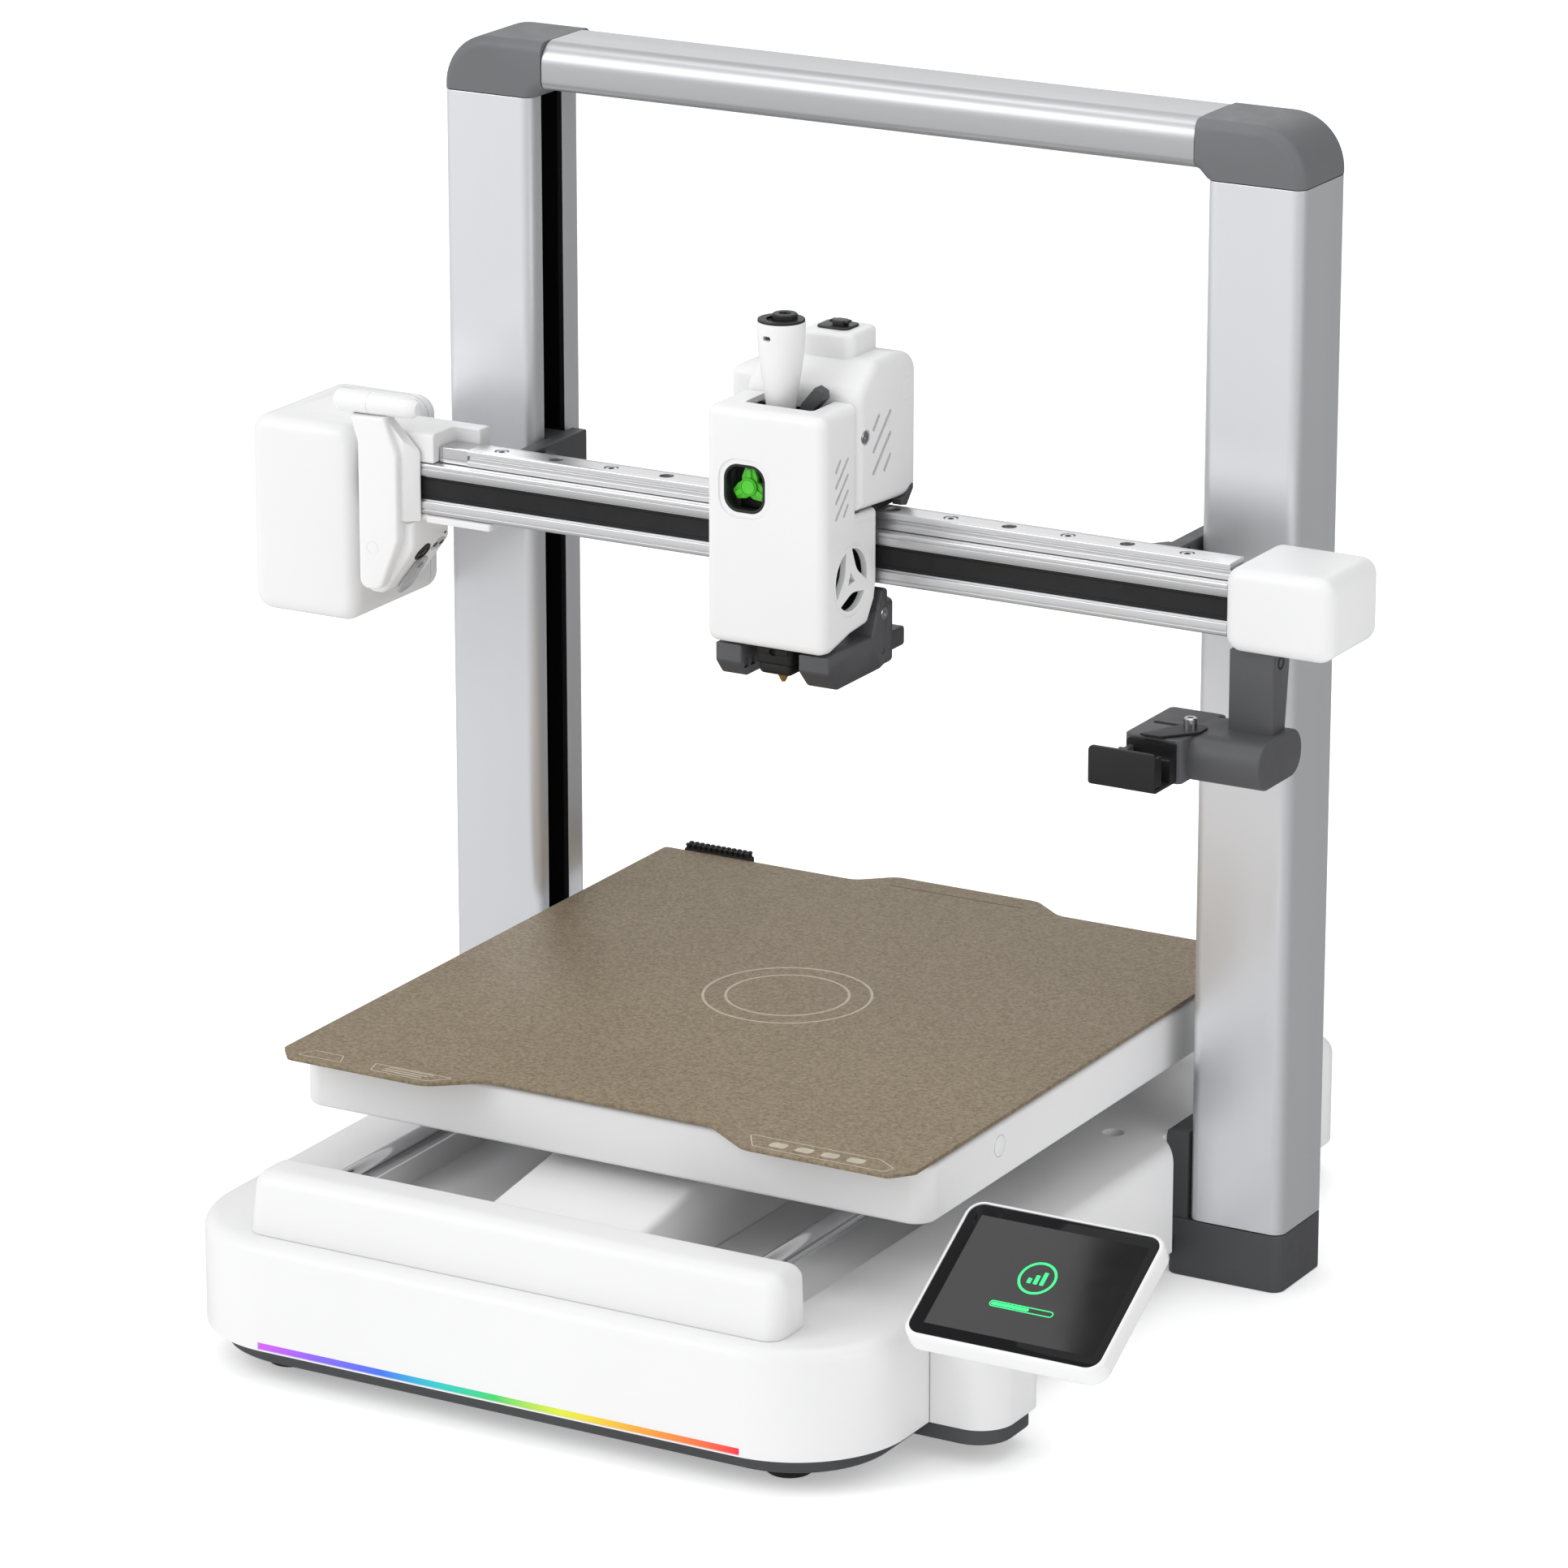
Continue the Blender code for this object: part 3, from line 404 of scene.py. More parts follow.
def light_material(strip):
    """The diffuser's rainbow, from violet on the left to red on the right."""
    material, tree, shader = new_material("rainbow_diffuser", "light_diffuser")
    shader.inputs["Roughness"].default_value = 0.5
    shader.inputs["Specular IOR Level"].default_value = 0.1
    shader.inputs["Emission Strength"].default_value = 1.15
    shader.inputs["Base Color"].default_value = (0.02, 0.02, 0.02, 1.0)
    coordinates = tree.nodes.new("ShaderNodeTexCoord")
    split = tree.nodes.new("ShaderNodeSeparateXYZ")
    tree.links.new(coordinates.outputs["Object"], split.inputs["Vector"])
    left = ORIGIN.x + strip.x0 * MM
    right = ORIGIN.x + strip.x1 * MM
    along = spread(tree, split.outputs["X"], 0.0, 1.0, (left, right))
    ramp = tree.nodes.new("ShaderNodeValToRGB")
    stops = [(0.0, (0.62, 0.10, 0.90)), (0.12, (0.24, 0.12, 0.85)), (0.26, (0.05, 0.16, 0.82)),
             (0.38, (0.02, 0.55, 0.55)), (0.50, (0.05, 0.62, 0.14)), (0.64, (0.70, 0.78, 0.04)),
             (0.80, (0.95, 0.36, 0.04)), (1.0, (0.88, 0.03, 0.06))]
    for element in range(len(stops) - 2):
        ramp.color_ramp.elements.new(0.5)
    for element, (position, colour) in zip(ramp.color_ramp.elements, stops):
        element.position = position
        element.color = (*colour, 1.0)
    tree.links.new(along, ramp.inputs["Fac"])
    tree.links.new(ramp.outputs["Color"], shader.inputs["Emission Color"])
    return material


def glowing(name, slot, colour, strength):
    material = surface(name, slot, colour, 0.4, vary=0.02)
    shader = material.node_tree.nodes["Principled BSDF"]
    shader.inputs["Emission Color"].default_value = (*colour, 1.0)
    shader.inputs["Emission Strength"].default_value = strength
    return material


WHITE = surface("white_moulded", "white_plastic", (0.80, 0.80, 0.805), 0.38, vary=0.008,
                grain=2200.0, bump=0.000012, Specular_IOR_Level=0.45)
WHITE_GLOSS = surface("white_gloss", "white_plastic", (0.82, 0.82, 0.825), 0.22, vary=0.006,
                      grain=1400.0, bump=0.000005)
DARK = surface("dark_grey_moulded", "dark_grey_plastic", (0.062, 0.063, 0.068), 0.46, vary=0.10,
               grain=1800.0, bump=0.00004, wear=0.25)
MID = surface("mid_grey_moulded", "dark_grey_plastic", (0.085, 0.086, 0.092), 0.48, vary=0.08,
              grain=1800.0, bump=0.00004, wear=0.15)
CAP = surface("cap_grey_moulded", "cap_grey_plastic", (0.140, 0.143, 0.152), 0.52, vary=0.05,
              grain=1800.0, bump=0.00003, wear=0.10)
BLACK = surface("black_moulded", "black_plastic", (0.010, 0.010, 0.011), 0.42, vary=0.2,
                grain=1600.0, bump=0.00003, wear=0.20)
ALUMINIUM = surface("satin_anodised", "anodised_aluminium", (0.86, 0.87, 0.90), 0.36, 0.76,
                    vary=0.015, grain=900.0, bump=0.000006, patch=30.0, stretch=(1.0, 1.0, 0.02),
                    rough_vary=0.03)
# A darker copy of the satin anodised aluminium, used for the beam and the heater plate: painted shade.
SHADED_ALUMINIUM = surface("satin_anodised_painted_shade", "anodised_aluminium", (0.52, 0.53, 0.545), 0.36,
                         0.72, vary=0.015, grain=900.0, bump=0.000006, patch=30.0,
                         stretch=(0.02, 1.0, 1.0), rough_vary=0.03)
RAIL_ALUMINIUM = surface("milled_aluminium", "anodised_aluminium", (0.72, 0.72, 0.73), 0.33, 0.85,
                         vary=0.01, grain=1500.0, bump=0.0000005, patch=10.0,
                         stretch=(0.01, 1.0, 1.0), rough_vary=0.01)
STEEL = surface("polished_steel", "ground_steel", (0.62, 0.62, 0.63), 0.10, 1.0, vary=0.03,
                grain=1500.0, bump=0.000002, patch=40.0, stretch=(1.0, 0.05, 1.0), rough_vary=0.03)
SCREW_STEEL = surface("screw_steel", "ground_steel", (0.58, 0.58, 0.60), 0.22, 1.0, vary=0.06,
                      grain=2500.0, bump=0.00001, rough_vary=0.08)
BRASS = surface("turned_brass", "brass", (0.62, 0.43, 0.16), 0.22, 1.0, vary=0.08, grain=2500.0,
                bump=0.00001)
BRONZE = plate_material()
PRINT_INK = surface("pale_print", "textured_spring_steel", (0.50, 0.44, 0.35), 0.55, vary=0.10,
                    grain=900.0, bump=0.00004, patch=300.0)
GREEN = surface("green_moulded", "green_plastic", (0.075, 0.60, 0.02), 0.35, vary=0.05,
                grain=1500.0, bump=0.00001, Coat_Weight=0.2)
SCREEN_GLASS = surface("cover_glass", "display_glass", (0.006, 0.006, 0.007), 0.04, vary=0.2,
                       rough_vary=0.01, bump=0.0000005, Specular_IOR_Level=0.13)
PANEL_GLASS = surface("lit_panel", "display_glass", (0.011, 0.011, 0.012), 0.05, vary=0.1,
                      rough_vary=0.01, bump=0.0000005, Specular_IOR_Level=0.13)
ICON = glowing("icon_green", "green_plastic", (0.02, 0.62, 0.16), 1.1)
RUBBER = surface("soft_rubber", "rubber", (0.010, 0.010, 0.010), 0.70, vary=0.2, grain=1500.0,
                 bump=0.00006)
CLEAR = surface("smoky_clear", "clear_plastic", (0.50, 0.51, 0.53), 0.12, vary=0.05,
                bump=0.00001, Alpha=0.55, IOR=1.5)


# Small hardware -------------------------------------------------------------------------------
def cap_screw(a, b, level, radius, axis, height=1.2, up=1.0, socket=0.5):
    """A cap-head screw with a hexagon socket; up is the side of level that its head is on."""
    top = level + height * up
    chamfer = 0.22 * up
    head = turned([(radius, level - 1.0 * up), (radius, top - chamfer), (radius - 0.22, top)],
                  (a, b), axis, 32)
    low, high = sorted((top + 0.5 * up, top - 0.8 * height * up))
    return carve(head, prism(circle(a, b, radius * socket, 6), axis, low, high))


# Base -----------------------------------------------------------------------------------------
def base_outline(base, inset=0.0):
    front, rear = 46.0, 18.0
    right = [(base.x1 - inset, base.y0 + inset, front - inset), (base.x1 - inset, base.y1 - inset, rear)]
    return right + mirrored(right)


def waist(sign, clearance=0.0):
    """The notch that lets the base pass between the uprights' feet."""
    near = 139.5 - clearance
    notch = [(near, -3.0 - clearance), (170.0, -34.0 - clearance), (170.0, 73.0 + clearance),
             (near, 42.0 + clearance)]
    return prism(sided(notch, sign), "z", 0.0, 90.0)


def build_base():
    base, strip = Box("base_shell"), Box("light_bar")
    deck = base.z1
    shell = prism(base_outline(base), "z", base.z0, deck, bevel=6.0, rims=(1,), steps=20, segments=8)
    carve(shell, box((-104.0, -242.0, 48.0), (104.0, 121.0, 90.0), radius=6.0, steps=8),
          box((-34.4, -241.0, 30.0), (34.4, 120.0, 49.0)),
          box((33.0, 80.0, 30.0), (62.0, 120.0, 49.0)),
          box((-110.0, -262.0, 5.0), (110.0, 128.0, 27.0)))
    for _, sign in SIDES:
        low, high = span(sign, 107.0, 147.0)
        carve(shell, waist(sign), box((low, -222.0, 5.0), (high, -20.0, 54.5)),
              box((low, 60.0, 5.0), (high, 125.0, 54.5)))
        carve(shell, turned([(4.2, 52.0), (4.2, deck - 0.6), (5.0, deck + 2.0)],
                            (120.5 * sign, -8.0)))
    carve(shell, box((90.0, 130.0, 22.0), (138.0, 150.0, 50.0), radius=2.0, axis="y"),
          box((-105.5, base.y0 - 5.0, strip.cz - 1.4), (105.5, base.y0 + 4.0, strip.cz + 1.4)))
    carve(shell, row(12, (9.0, 0, 0), (-110.0, base.y1 - 2.6, 26.0), (-105.5, base.y1 + 3.0, 46.0),
                     radius=2.1, axis="y"))
    finish_piece(shell, "moulded_base", "base_shell", WHITE, soften=0.5)

    tray = prism(base_outline(base, 7.0), "z", 7.0, 14.7, bevel=3.0, rims=(0,), steps=20)
    fuse(tray, prism([(130.0, -212.0), (176.0, -212.0, 14.0), (176.0, -178.0, 8.0),
                      (130.0, -178.0)], "z", 8.0, 14.68))
    for _, sign in SIDES:
        carve(tray, waist(sign, 1.0))
    carve(tray, row(9, (10.0, 0, 0), (-40.0, -60.0, 5.0), (-36.0, 0.0, 8.6), radius=1.9))
    finish_piece(tray, "underside_tray", "bottom_tray", DARK)

    for name in ("front_left", "front_right", "rear_left", "rear_right"):
        foot = Box("foot_" + name)
        pad = turned([(7.6, 0.0), (8.4, 0.15), (9.6, 1.2), (10.0, 2.2), (10.0, foot.z1)],
                     (foot.cx, foot.cy), steps=48)
        carve(pad, turned([(5.0, -1.0), (5.0, 0.4), (4.2, 1.0)], (foot.cx, foot.cy), steps=32))
        finish_piece(pad, "foot_pad_" + name, "foot_" + name, RUBBER, soften=0.2)

    lens = box((strip.x0, strip.y0, strip.cz - 1.2), (strip.x1, strip.y1, strip.cz + 1.2),
               bevel=0.5, radius=1.1, axis="y")
    finish_piece(lens, "rainbow_light", "light_bar", light_material(strip), soften=0.0)

    ridge = Box("front_rod_cover")
    below = ridge.z0 - 8.0
    cover = prism([(ridge.y0, below), (ridge.y1, below), (ridge.y1 - 2.2, ridge.z1, 5.0),
                   (ridge.y0 + 5.5, ridge.z1, 7.0)], "x", ridge.x0, ridge.x1, bevel=7.0, steps=10,
                  segments=8)
    carve(cover, box((-200.0, -300.0, 0.0), (200.0, 0.0, ridge.z0 - 0.25)))
    finish_piece(cover, "front_ridge", "front_rod_cover", WHITE)

    spine = Box("centre_cover")
    cover = prism([(spine.y0, spine.z0), (spine.y1, spine.z0), (spine.y1, 74.0, 3.0),
                   (-180.0, spine.z1, 30.0), (-236.0, 70.0, 6.0)], "x", spine.x0, spine.x1,
                  bevel=3.0, steps=10, segments=6)
    carve(cover, box((-31.5, 60.0, 20.0), (31.5, 112.0, 70.5)),
          cylinder((96.0, 48.7), 4.0, 25.0, 40.0, "x"))
    tilt = Matrix.Translation((6.0, -214.0, 73.6)) @ Matrix.Rotation(math.radians(7.6), 4, "X")
    carve(cover, moved(band(rectangle(-13.0, -7.0, 13.0, 7.0, 5.0), 0.4, -0.25, 2.0), tilt),
          moved(box((-1.6, -6.2, -0.3), (1.6, -3.0, 2.0), radius=0.7), tilt))
    finish_piece(cover, "spine_cover", "centre_cover", WHITE)

    for side, _ in SIDES:
        rod = Box("rod_" + side)
        radius = (rod.x1 - rod.x0) / 2
        bar = turned([(radius - 0.6, rod.y0), (radius, rod.y0 + 0.6), (radius, rod.y1 - 0.6),
                      (radius - 0.6, rod.y1)], (rod.cx, rod.cz), "y", 64)
        finish_piece(bar, "slide_rod_" + side, "rod_" + side, STEEL, soften=0.0)
        seat = carve(cylinder((rod.cx, rod.cz), 7.5, rod.y1 - 6.0, rod.y1 + 2.0, "y", 40, 0.6),
                     cylinder((rod.cx, rod.cz), radius + 0.05, rod.y1 - 8.0, rod.y1 + 0.1, "y", 40))
        block = box((rod.cx - 9.0, rod.y1 - 5.0, 30.2), (rod.cx + 9.0, rod.y1 + 1.5, rod.cz - 3.0),
                    bevel=0.8)
        attach(gather([seat, block]), "rod_seat_" + side, "rod_" + side, WHITE, soften=0.2)


def build_drive():
    motor = Box("y_motor")
    body = box((motor.x0, motor.y0, motor.z0), (motor.x1 - 6.0, motor.y1, motor.z1), bevel=0.8,
               radius=4.0, axis="x")
    fuse(body, box((motor.x1 - 6.5, motor.y0, motor.z0), (motor.x1, motor.y1, motor.z1), bevel=0.6,
                   radius=3.0, axis="x"))
    carve(body, row(7, (3.0, 0, 0), (motor.x0 + 4.0, motor.y0 - 1.0, motor.z0 - 1.0),
                    (motor.x0 + 4.6, motor.y0 + 0.5, motor.z1 + 1.0)))
    finish_piece(body, "bed_motor", "y_motor", BLACK, soften=0.2)
    shaft = cylinder((96.0, 48.7), 2.5, motor.x1 - 1.0, 52.0, "x", 32, 0.3)
    attach(shaft, "bed_motor_shaft", "y_pulley", SCREW_STEEL)
    finish_piece(toothed_pulley(Box("y_pulley"), "x"), "bed_belt_pulley", "y_pulley",
                 RAIL_ALUMINIUM, soften=0.15)

    supply = Box("power_supply")
    case = box(supply.low, supply.high, bevel=0.8)
    holes = [cylinder((-190.0 + 7.0 * k, 24.0 + 6.0 * row), 1.6, supply.x0 - 1.0,
                      supply.x0 + 1.0, "x", 12) for k in range(20) for row in range(4)]
    finish_piece(carve(case, gather(holes)), "supply_case", "power_supply", RAIL_ALUMINIUM)

    inlet = Box("power_inlet")
    socket = box(inlet.low, inlet.high, radius=2.0, axis="y")
    carve(socket, prism([(94.0, 27.0, 1.0), (118.0, 27.0, 1.0), (118.0, 41.0, 0.6),
                         (113.0, 46.0, 0.6), (99.0, 46.0, 0.6), (94.0, 41.0, 0.6)], "y", 134.0,
                        150.0), box((122.0, 134.0, 26.5), (134.0, 150.0, 45.5)))
    pins = [box((x - 0.8, 133.0, z - 2.6), (x + 0.8, 142.0, z + 2.6), bevel=0.3, axis="y")
            for x, z in ((99.5, 33.0), (112.5, 33.0), (106.0, 39.5))]
    finish_piece(socket, "inlet_socket", "power_inlet", BLACK, soften=0.3)
    attach(gather(pins), "inlet_pins", "power_inlet", BRASS)

    switch = Box("power_switch")
    rocker = prism([(137.5, 27.5, 0.3), (140.5, 27.5, 0.4), (141.5, 27.0, 0.4),
                    (142.0, 36.0, 12.0), (143.3, 44.5, 0.5), (141.5, 45.0, 0.4),
                    (137.5, 44.5, 0.3)], "x", switch.x0, switch.x1, bevel=0.5)
    carve(rocker, box((127.5, 140.9, 29.0), (128.5, 146.0, 33.0)),
          band(circle(128.0, 40.5, 2.0, 24), 0.5, 142.2, 4.0, "y"))
    finish_piece(rocker, "switch_rocker", "power_switch", BLACK, soften=0.2)

    for side, _ in SIDES:
        motor = Box("z_motor_" + side)
        body = box((motor.x0, motor.y0, motor.z0), (motor.x1, motor.y1, motor.z1 - 5.0), bevel=0.8,
                   radius=4.0)
        fuse(body, box((motor.x0, motor.y0, motor.z1 - 5.5), motor.high, bevel=0.6, radius=3.0))
        finish_piece(body, "lift_motor_" + side, "z_motor_" + side, BLACK, soften=0.2)
        screw = Box("lead_screw_" + side)
        finish_piece(threaded(screw), "lift_screw_" + side, "lead_screw_" + side, SCREW_STEEL,
                     soften=0.0, angle=60)


def toothed_pulley(pulley, axis):
    """Timing pulley: twenty round-bottomed teeth between two flanges."""
    k = "xyz".index(axis)
    i, j = [n for n in range(3) if n != k]
    a = (pulley.low[i] + pulley.high[i]) / 2
    b = (pulley.low[j] + pulley.high[j]) / 2
    low, high = pulley.low[k], pulley.high[k]
    teeth = 20
    rim = []
    for step in range(teeth * 6):
        angle = 2 * math.pi * step / (teeth * 6)
        radius = 6.37 - 0.75 * max(0.0, math.cos(angle * teeth)) ** 2
        rim.append((a + radius * math.cos(angle), b + radius * math.sin(angle)))
    parts = [turned([(7.6, level), (8.0, level + 0.4), (8.0, level + 0.9), (7.6, level + 1.2)],
                    (a, b), axis, 48) for level in (low, high - 1.2)]
    return fuse(prism(rim, axis, low + 1.0, high - 1.0), *parts)


def threaded(screw):
    """Four-start trapezoidal thread: the radius steps with height and turn together."""
    lead, starts, sectors, rise = 8.0, 4, 28, 0.5
    outer, depth = 4.0, 0.75
    plain = 66.0
    levels = [screw.z0, screw.z0 + 0.4, plain - 0.4]
    count = int((436.0 - plain) / rise)
    levels += [plain + rise * k for k in range(count + 1)]
    levels += [436.4, screw.z1 - 0.4, screw.z1]
    bm = bmesh.new()
    rings = []
    for level in levels:
        ring = []
        for k in range(sectors):
            turn = k / sectors
            phase = ((level / lead - turn) * starts) % 1.0
            ridge = min(max(2.2 * (1.0 - abs(2.0 * phase - 1.0)) - 0.5, 0.0), 1.0)
            radius = outer - depth * (1.0 - ridge)
            if level < plain or level > 436.2:
                radius = 2.5 if screw.z0 + 0.2 < level < screw.z1 - 0.2 else 2.1
            angle = 2 * math.pi * turn
            ring.append(bm.verts.new((screw.cx + radius * math.cos(angle),
                                      screw.cy + radius * math.sin(angle), level)))
        rings.append(ring)
    for lower, upper in zip(rings, rings[1:]):
        for k in range(sectors):
            j = (k + 1) % sectors
            bm.faces.new((lower[k], lower[j], upper[j], upper[k]))
    bm.faces.new(rings[0])
    bm.faces.new(rings[-1])
    return shape(bm)


# Portal ---------------------------------------------------------------------------------------
def build_portal():
    top = Box("top_beam")
    for side, sign in SIDES:
        post = Box("upright_" + side)
        upright = box(post.low, post.high, radius=5.0, steps=12)
        carve(upright, box((post.x0 + 2.5, 2.5, 0.0), (post.x1 - 2.5, post.y1 - 2.5, 500.0),
                           radius=3.0))
        slot = span(sign, 140.0, 153.5)
        carve(upright, box((slot[0], 8.7, 0.0), (slot[1], 24.3, 500.0)))
        # Faces inside the hollow upright and the slot's cut faces take black: painted shade for its dark
        # inside.
        upright.data.materials.append(None)
        upright.data.materials.append(BLACK)
        for face in upright.data.polygons:
            x, y, _ = face.center
            inside = post.x0 + 2.4 < x < post.x1 - 2.4 and 2.4 < y < post.y1 - 2.4
            lip = abs(x) < 152.4 and 8.6 < y < 24.4
            if inside or lip:
                face.material_index = 1
        finish_piece(upright, "post_" + side, "upright_" + side, ALUMINIUM, soften=0.3)

        cap = Box("top_cap_" + side)
        corner = [(124.0, cap.z0 + 3.4), (145.0, cap.z0 + 3.4, 3.0), (149.5, cap.z0 - 1.0, 1.0),
                  (149.5, cap.z0 - 20.0), (190.5, cap.z0 - 20.0), (190.5, cap.z1, 21.0),
                  (124.0, cap.z1)]
        block = prism(sided(corner, sign), "y", cap.y0, cap.y1, bevel=4.5, steps=16, segments=8)
        inner = span(sign, 100.0, 144.6)
        carve(block, box((-300.0, -10.0, 380.0), (300.0, 60.0, cap.z0)),
              box((inner[0], -10.0, 400.0), (inner[1], 60.0, 500.0)))
        finish_piece(block, "corner_cap_" + side, "top_cap_" + side, CAP, soften=0.15)

        low = Box("base_cap_" + side)
        foot_low, foot_high = span(sign, 140.0, 190.5)
        foot = box((foot_low, 0.0, 0.0), (foot_high, low.y1, 24.0), radius=5.0, steps=12,
                   bevel=0.8)
        tower_low, tower_high = span(sign, 140.0, 149.2)
        fuse(foot, box((tower_low, 1.0, 10.0), (tower_high, low.y1 - 1.0, low.z1), bevel=0.6))
        finish_piece(foot, "post_foot_" + side, "base_cap_" + side, DARK, soften=0.3)

    beam = prism([(top.y0, top.z0, 4.0), (top.y1, top.z0, 3.0), (top.y1, top.z1, 3.0),
                  (top.y0, top.z1, 9.0)], "x", top.x0, top.x1, steps=12)
    carve(beam, box((-200.0, 3.5, top.z0 + 3.0), (200.0, top.y1 - 3.0, top.z1 - 5.0)))
    finish_piece(beam, "cross_beam", "top_beam", SHADED_ALUMINIUM, soften=0.2)


# Screen ---------------------------------------------------------------------------------------
def build_screen():
    wide, tall, thick = 41.0, 33.0, 9.0
    centre = Vector((198.0, -223.2, 82.0))
    tilted = Matrix.Translation(centre) @ Matrix.Rotation(math.radians(31.2), 4, "X")

    pod = Box("screen_pod")
    stand = prism([(pod.x0, -214.0), (pod.x1, -214.0, 14.0), (pod.x1, -176.0, 8.0),
                   (pod.x0, -176.0)], "z", pod.z0, 64.0, bevel=2.5, rims=(1,), steps=14,
                  segments=6)
    ear = [(-201.5, 60.0), (-190.5, 60.0), (-190.5, 81.4, 5.4), (-201.5, 81.4, 5.4)]
    fuse(stand, prism(ear, "x", 152.5, 156.0), prism(ear, "x", 172.0, 175.5))
    finish_piece(stand, "screen_stand", "screen_pod", WHITE)
    attach(cylinder(SCREEN_HINGE, 2.4, 151.9, 176.1, "x", 32, 0.5), "screen_hinge_pin",
           "screen_pod", SCREW_STEEL)

    case = moved(box((-wide, -tall, -thick), (wide, tall, 0.0), bevel=1.8, radius=7.0, steps=12,
                     segments=6), tilted)
    carve(case, moved(box((-wide + 1.8, -tall + 1.8, -1.6), (wide - 1.8, tall - 1.8, 5.0),
                          radius=5.5, steps=10), tilted))
    bulge = moved(box((-36.0, -28.0, -thick - 3.0), (36.0, 28.0, -thick + 1.0), bevel=1.5,
                      radius=8.0), tilted)
    barrel = cylinder(SCREEN_HINGE, 5.0, 156.4, 171.6, "x", 40, 0.6)
    neck = prism([(-201.0, 76.0), (-193.5, 72.5), (-198.0, 86.0), (-208.0, 84.0)], "x", 157.0,
                 171.0)
    fuse(case, bulge, barrel, neck)
    carve(case, moved(row(6, (5.0, 0, 0), (-14.0, -20.0, -thick - 4.0), (-12.0, -6.0, -thick - 2.2),
                          radius=0.9), tilted))
    finish_piece(case, "screen_housing", "screen_case", WHITE_GLOSS)

    glass = moved(box((-wide + 2.0, -tall + 2.0, -1.3), (wide - 2.0, tall - 2.0, -0.15), bevel=0.3,
                      radius=5.3, steps=12, segments=2), tilted)
    finish_piece(glass, "screen_cover_glass", "screen_glass", SCREEN_GLASS, soften=0.0)
    panel = moved(box((-wide + 7.5, -tall + 7.0, -0.16), (wide - 5.5, tall - 7.0, -0.11)), tilted)
    attach(panel, "screen_panel", "screen_glass", PANEL_GLASS)
    icons = [band(circle(0.0, 3.0, 7.5, 48), 1.0, -0.10, 0.05)]
    icons += [box((-3.4 + 2.6 * k, 0.2, -0.10), (-1.8 + 2.6 * k, 2.6 + 1.8 * k, -0.05), radius=0.3)
              for k in range(3)]
    icons += [band(rectangle(-13.0, -13.0, 13.0, -10.2, 1.3), 0.4, -0.10, 0.05),
              box((-12.3, -12.3, -0.10), (3.0, -10.9, -0.05), radius=0.6)]
    attach(moved(gather(icons), tilted), "screen_icons", "screen_glass", ICON)


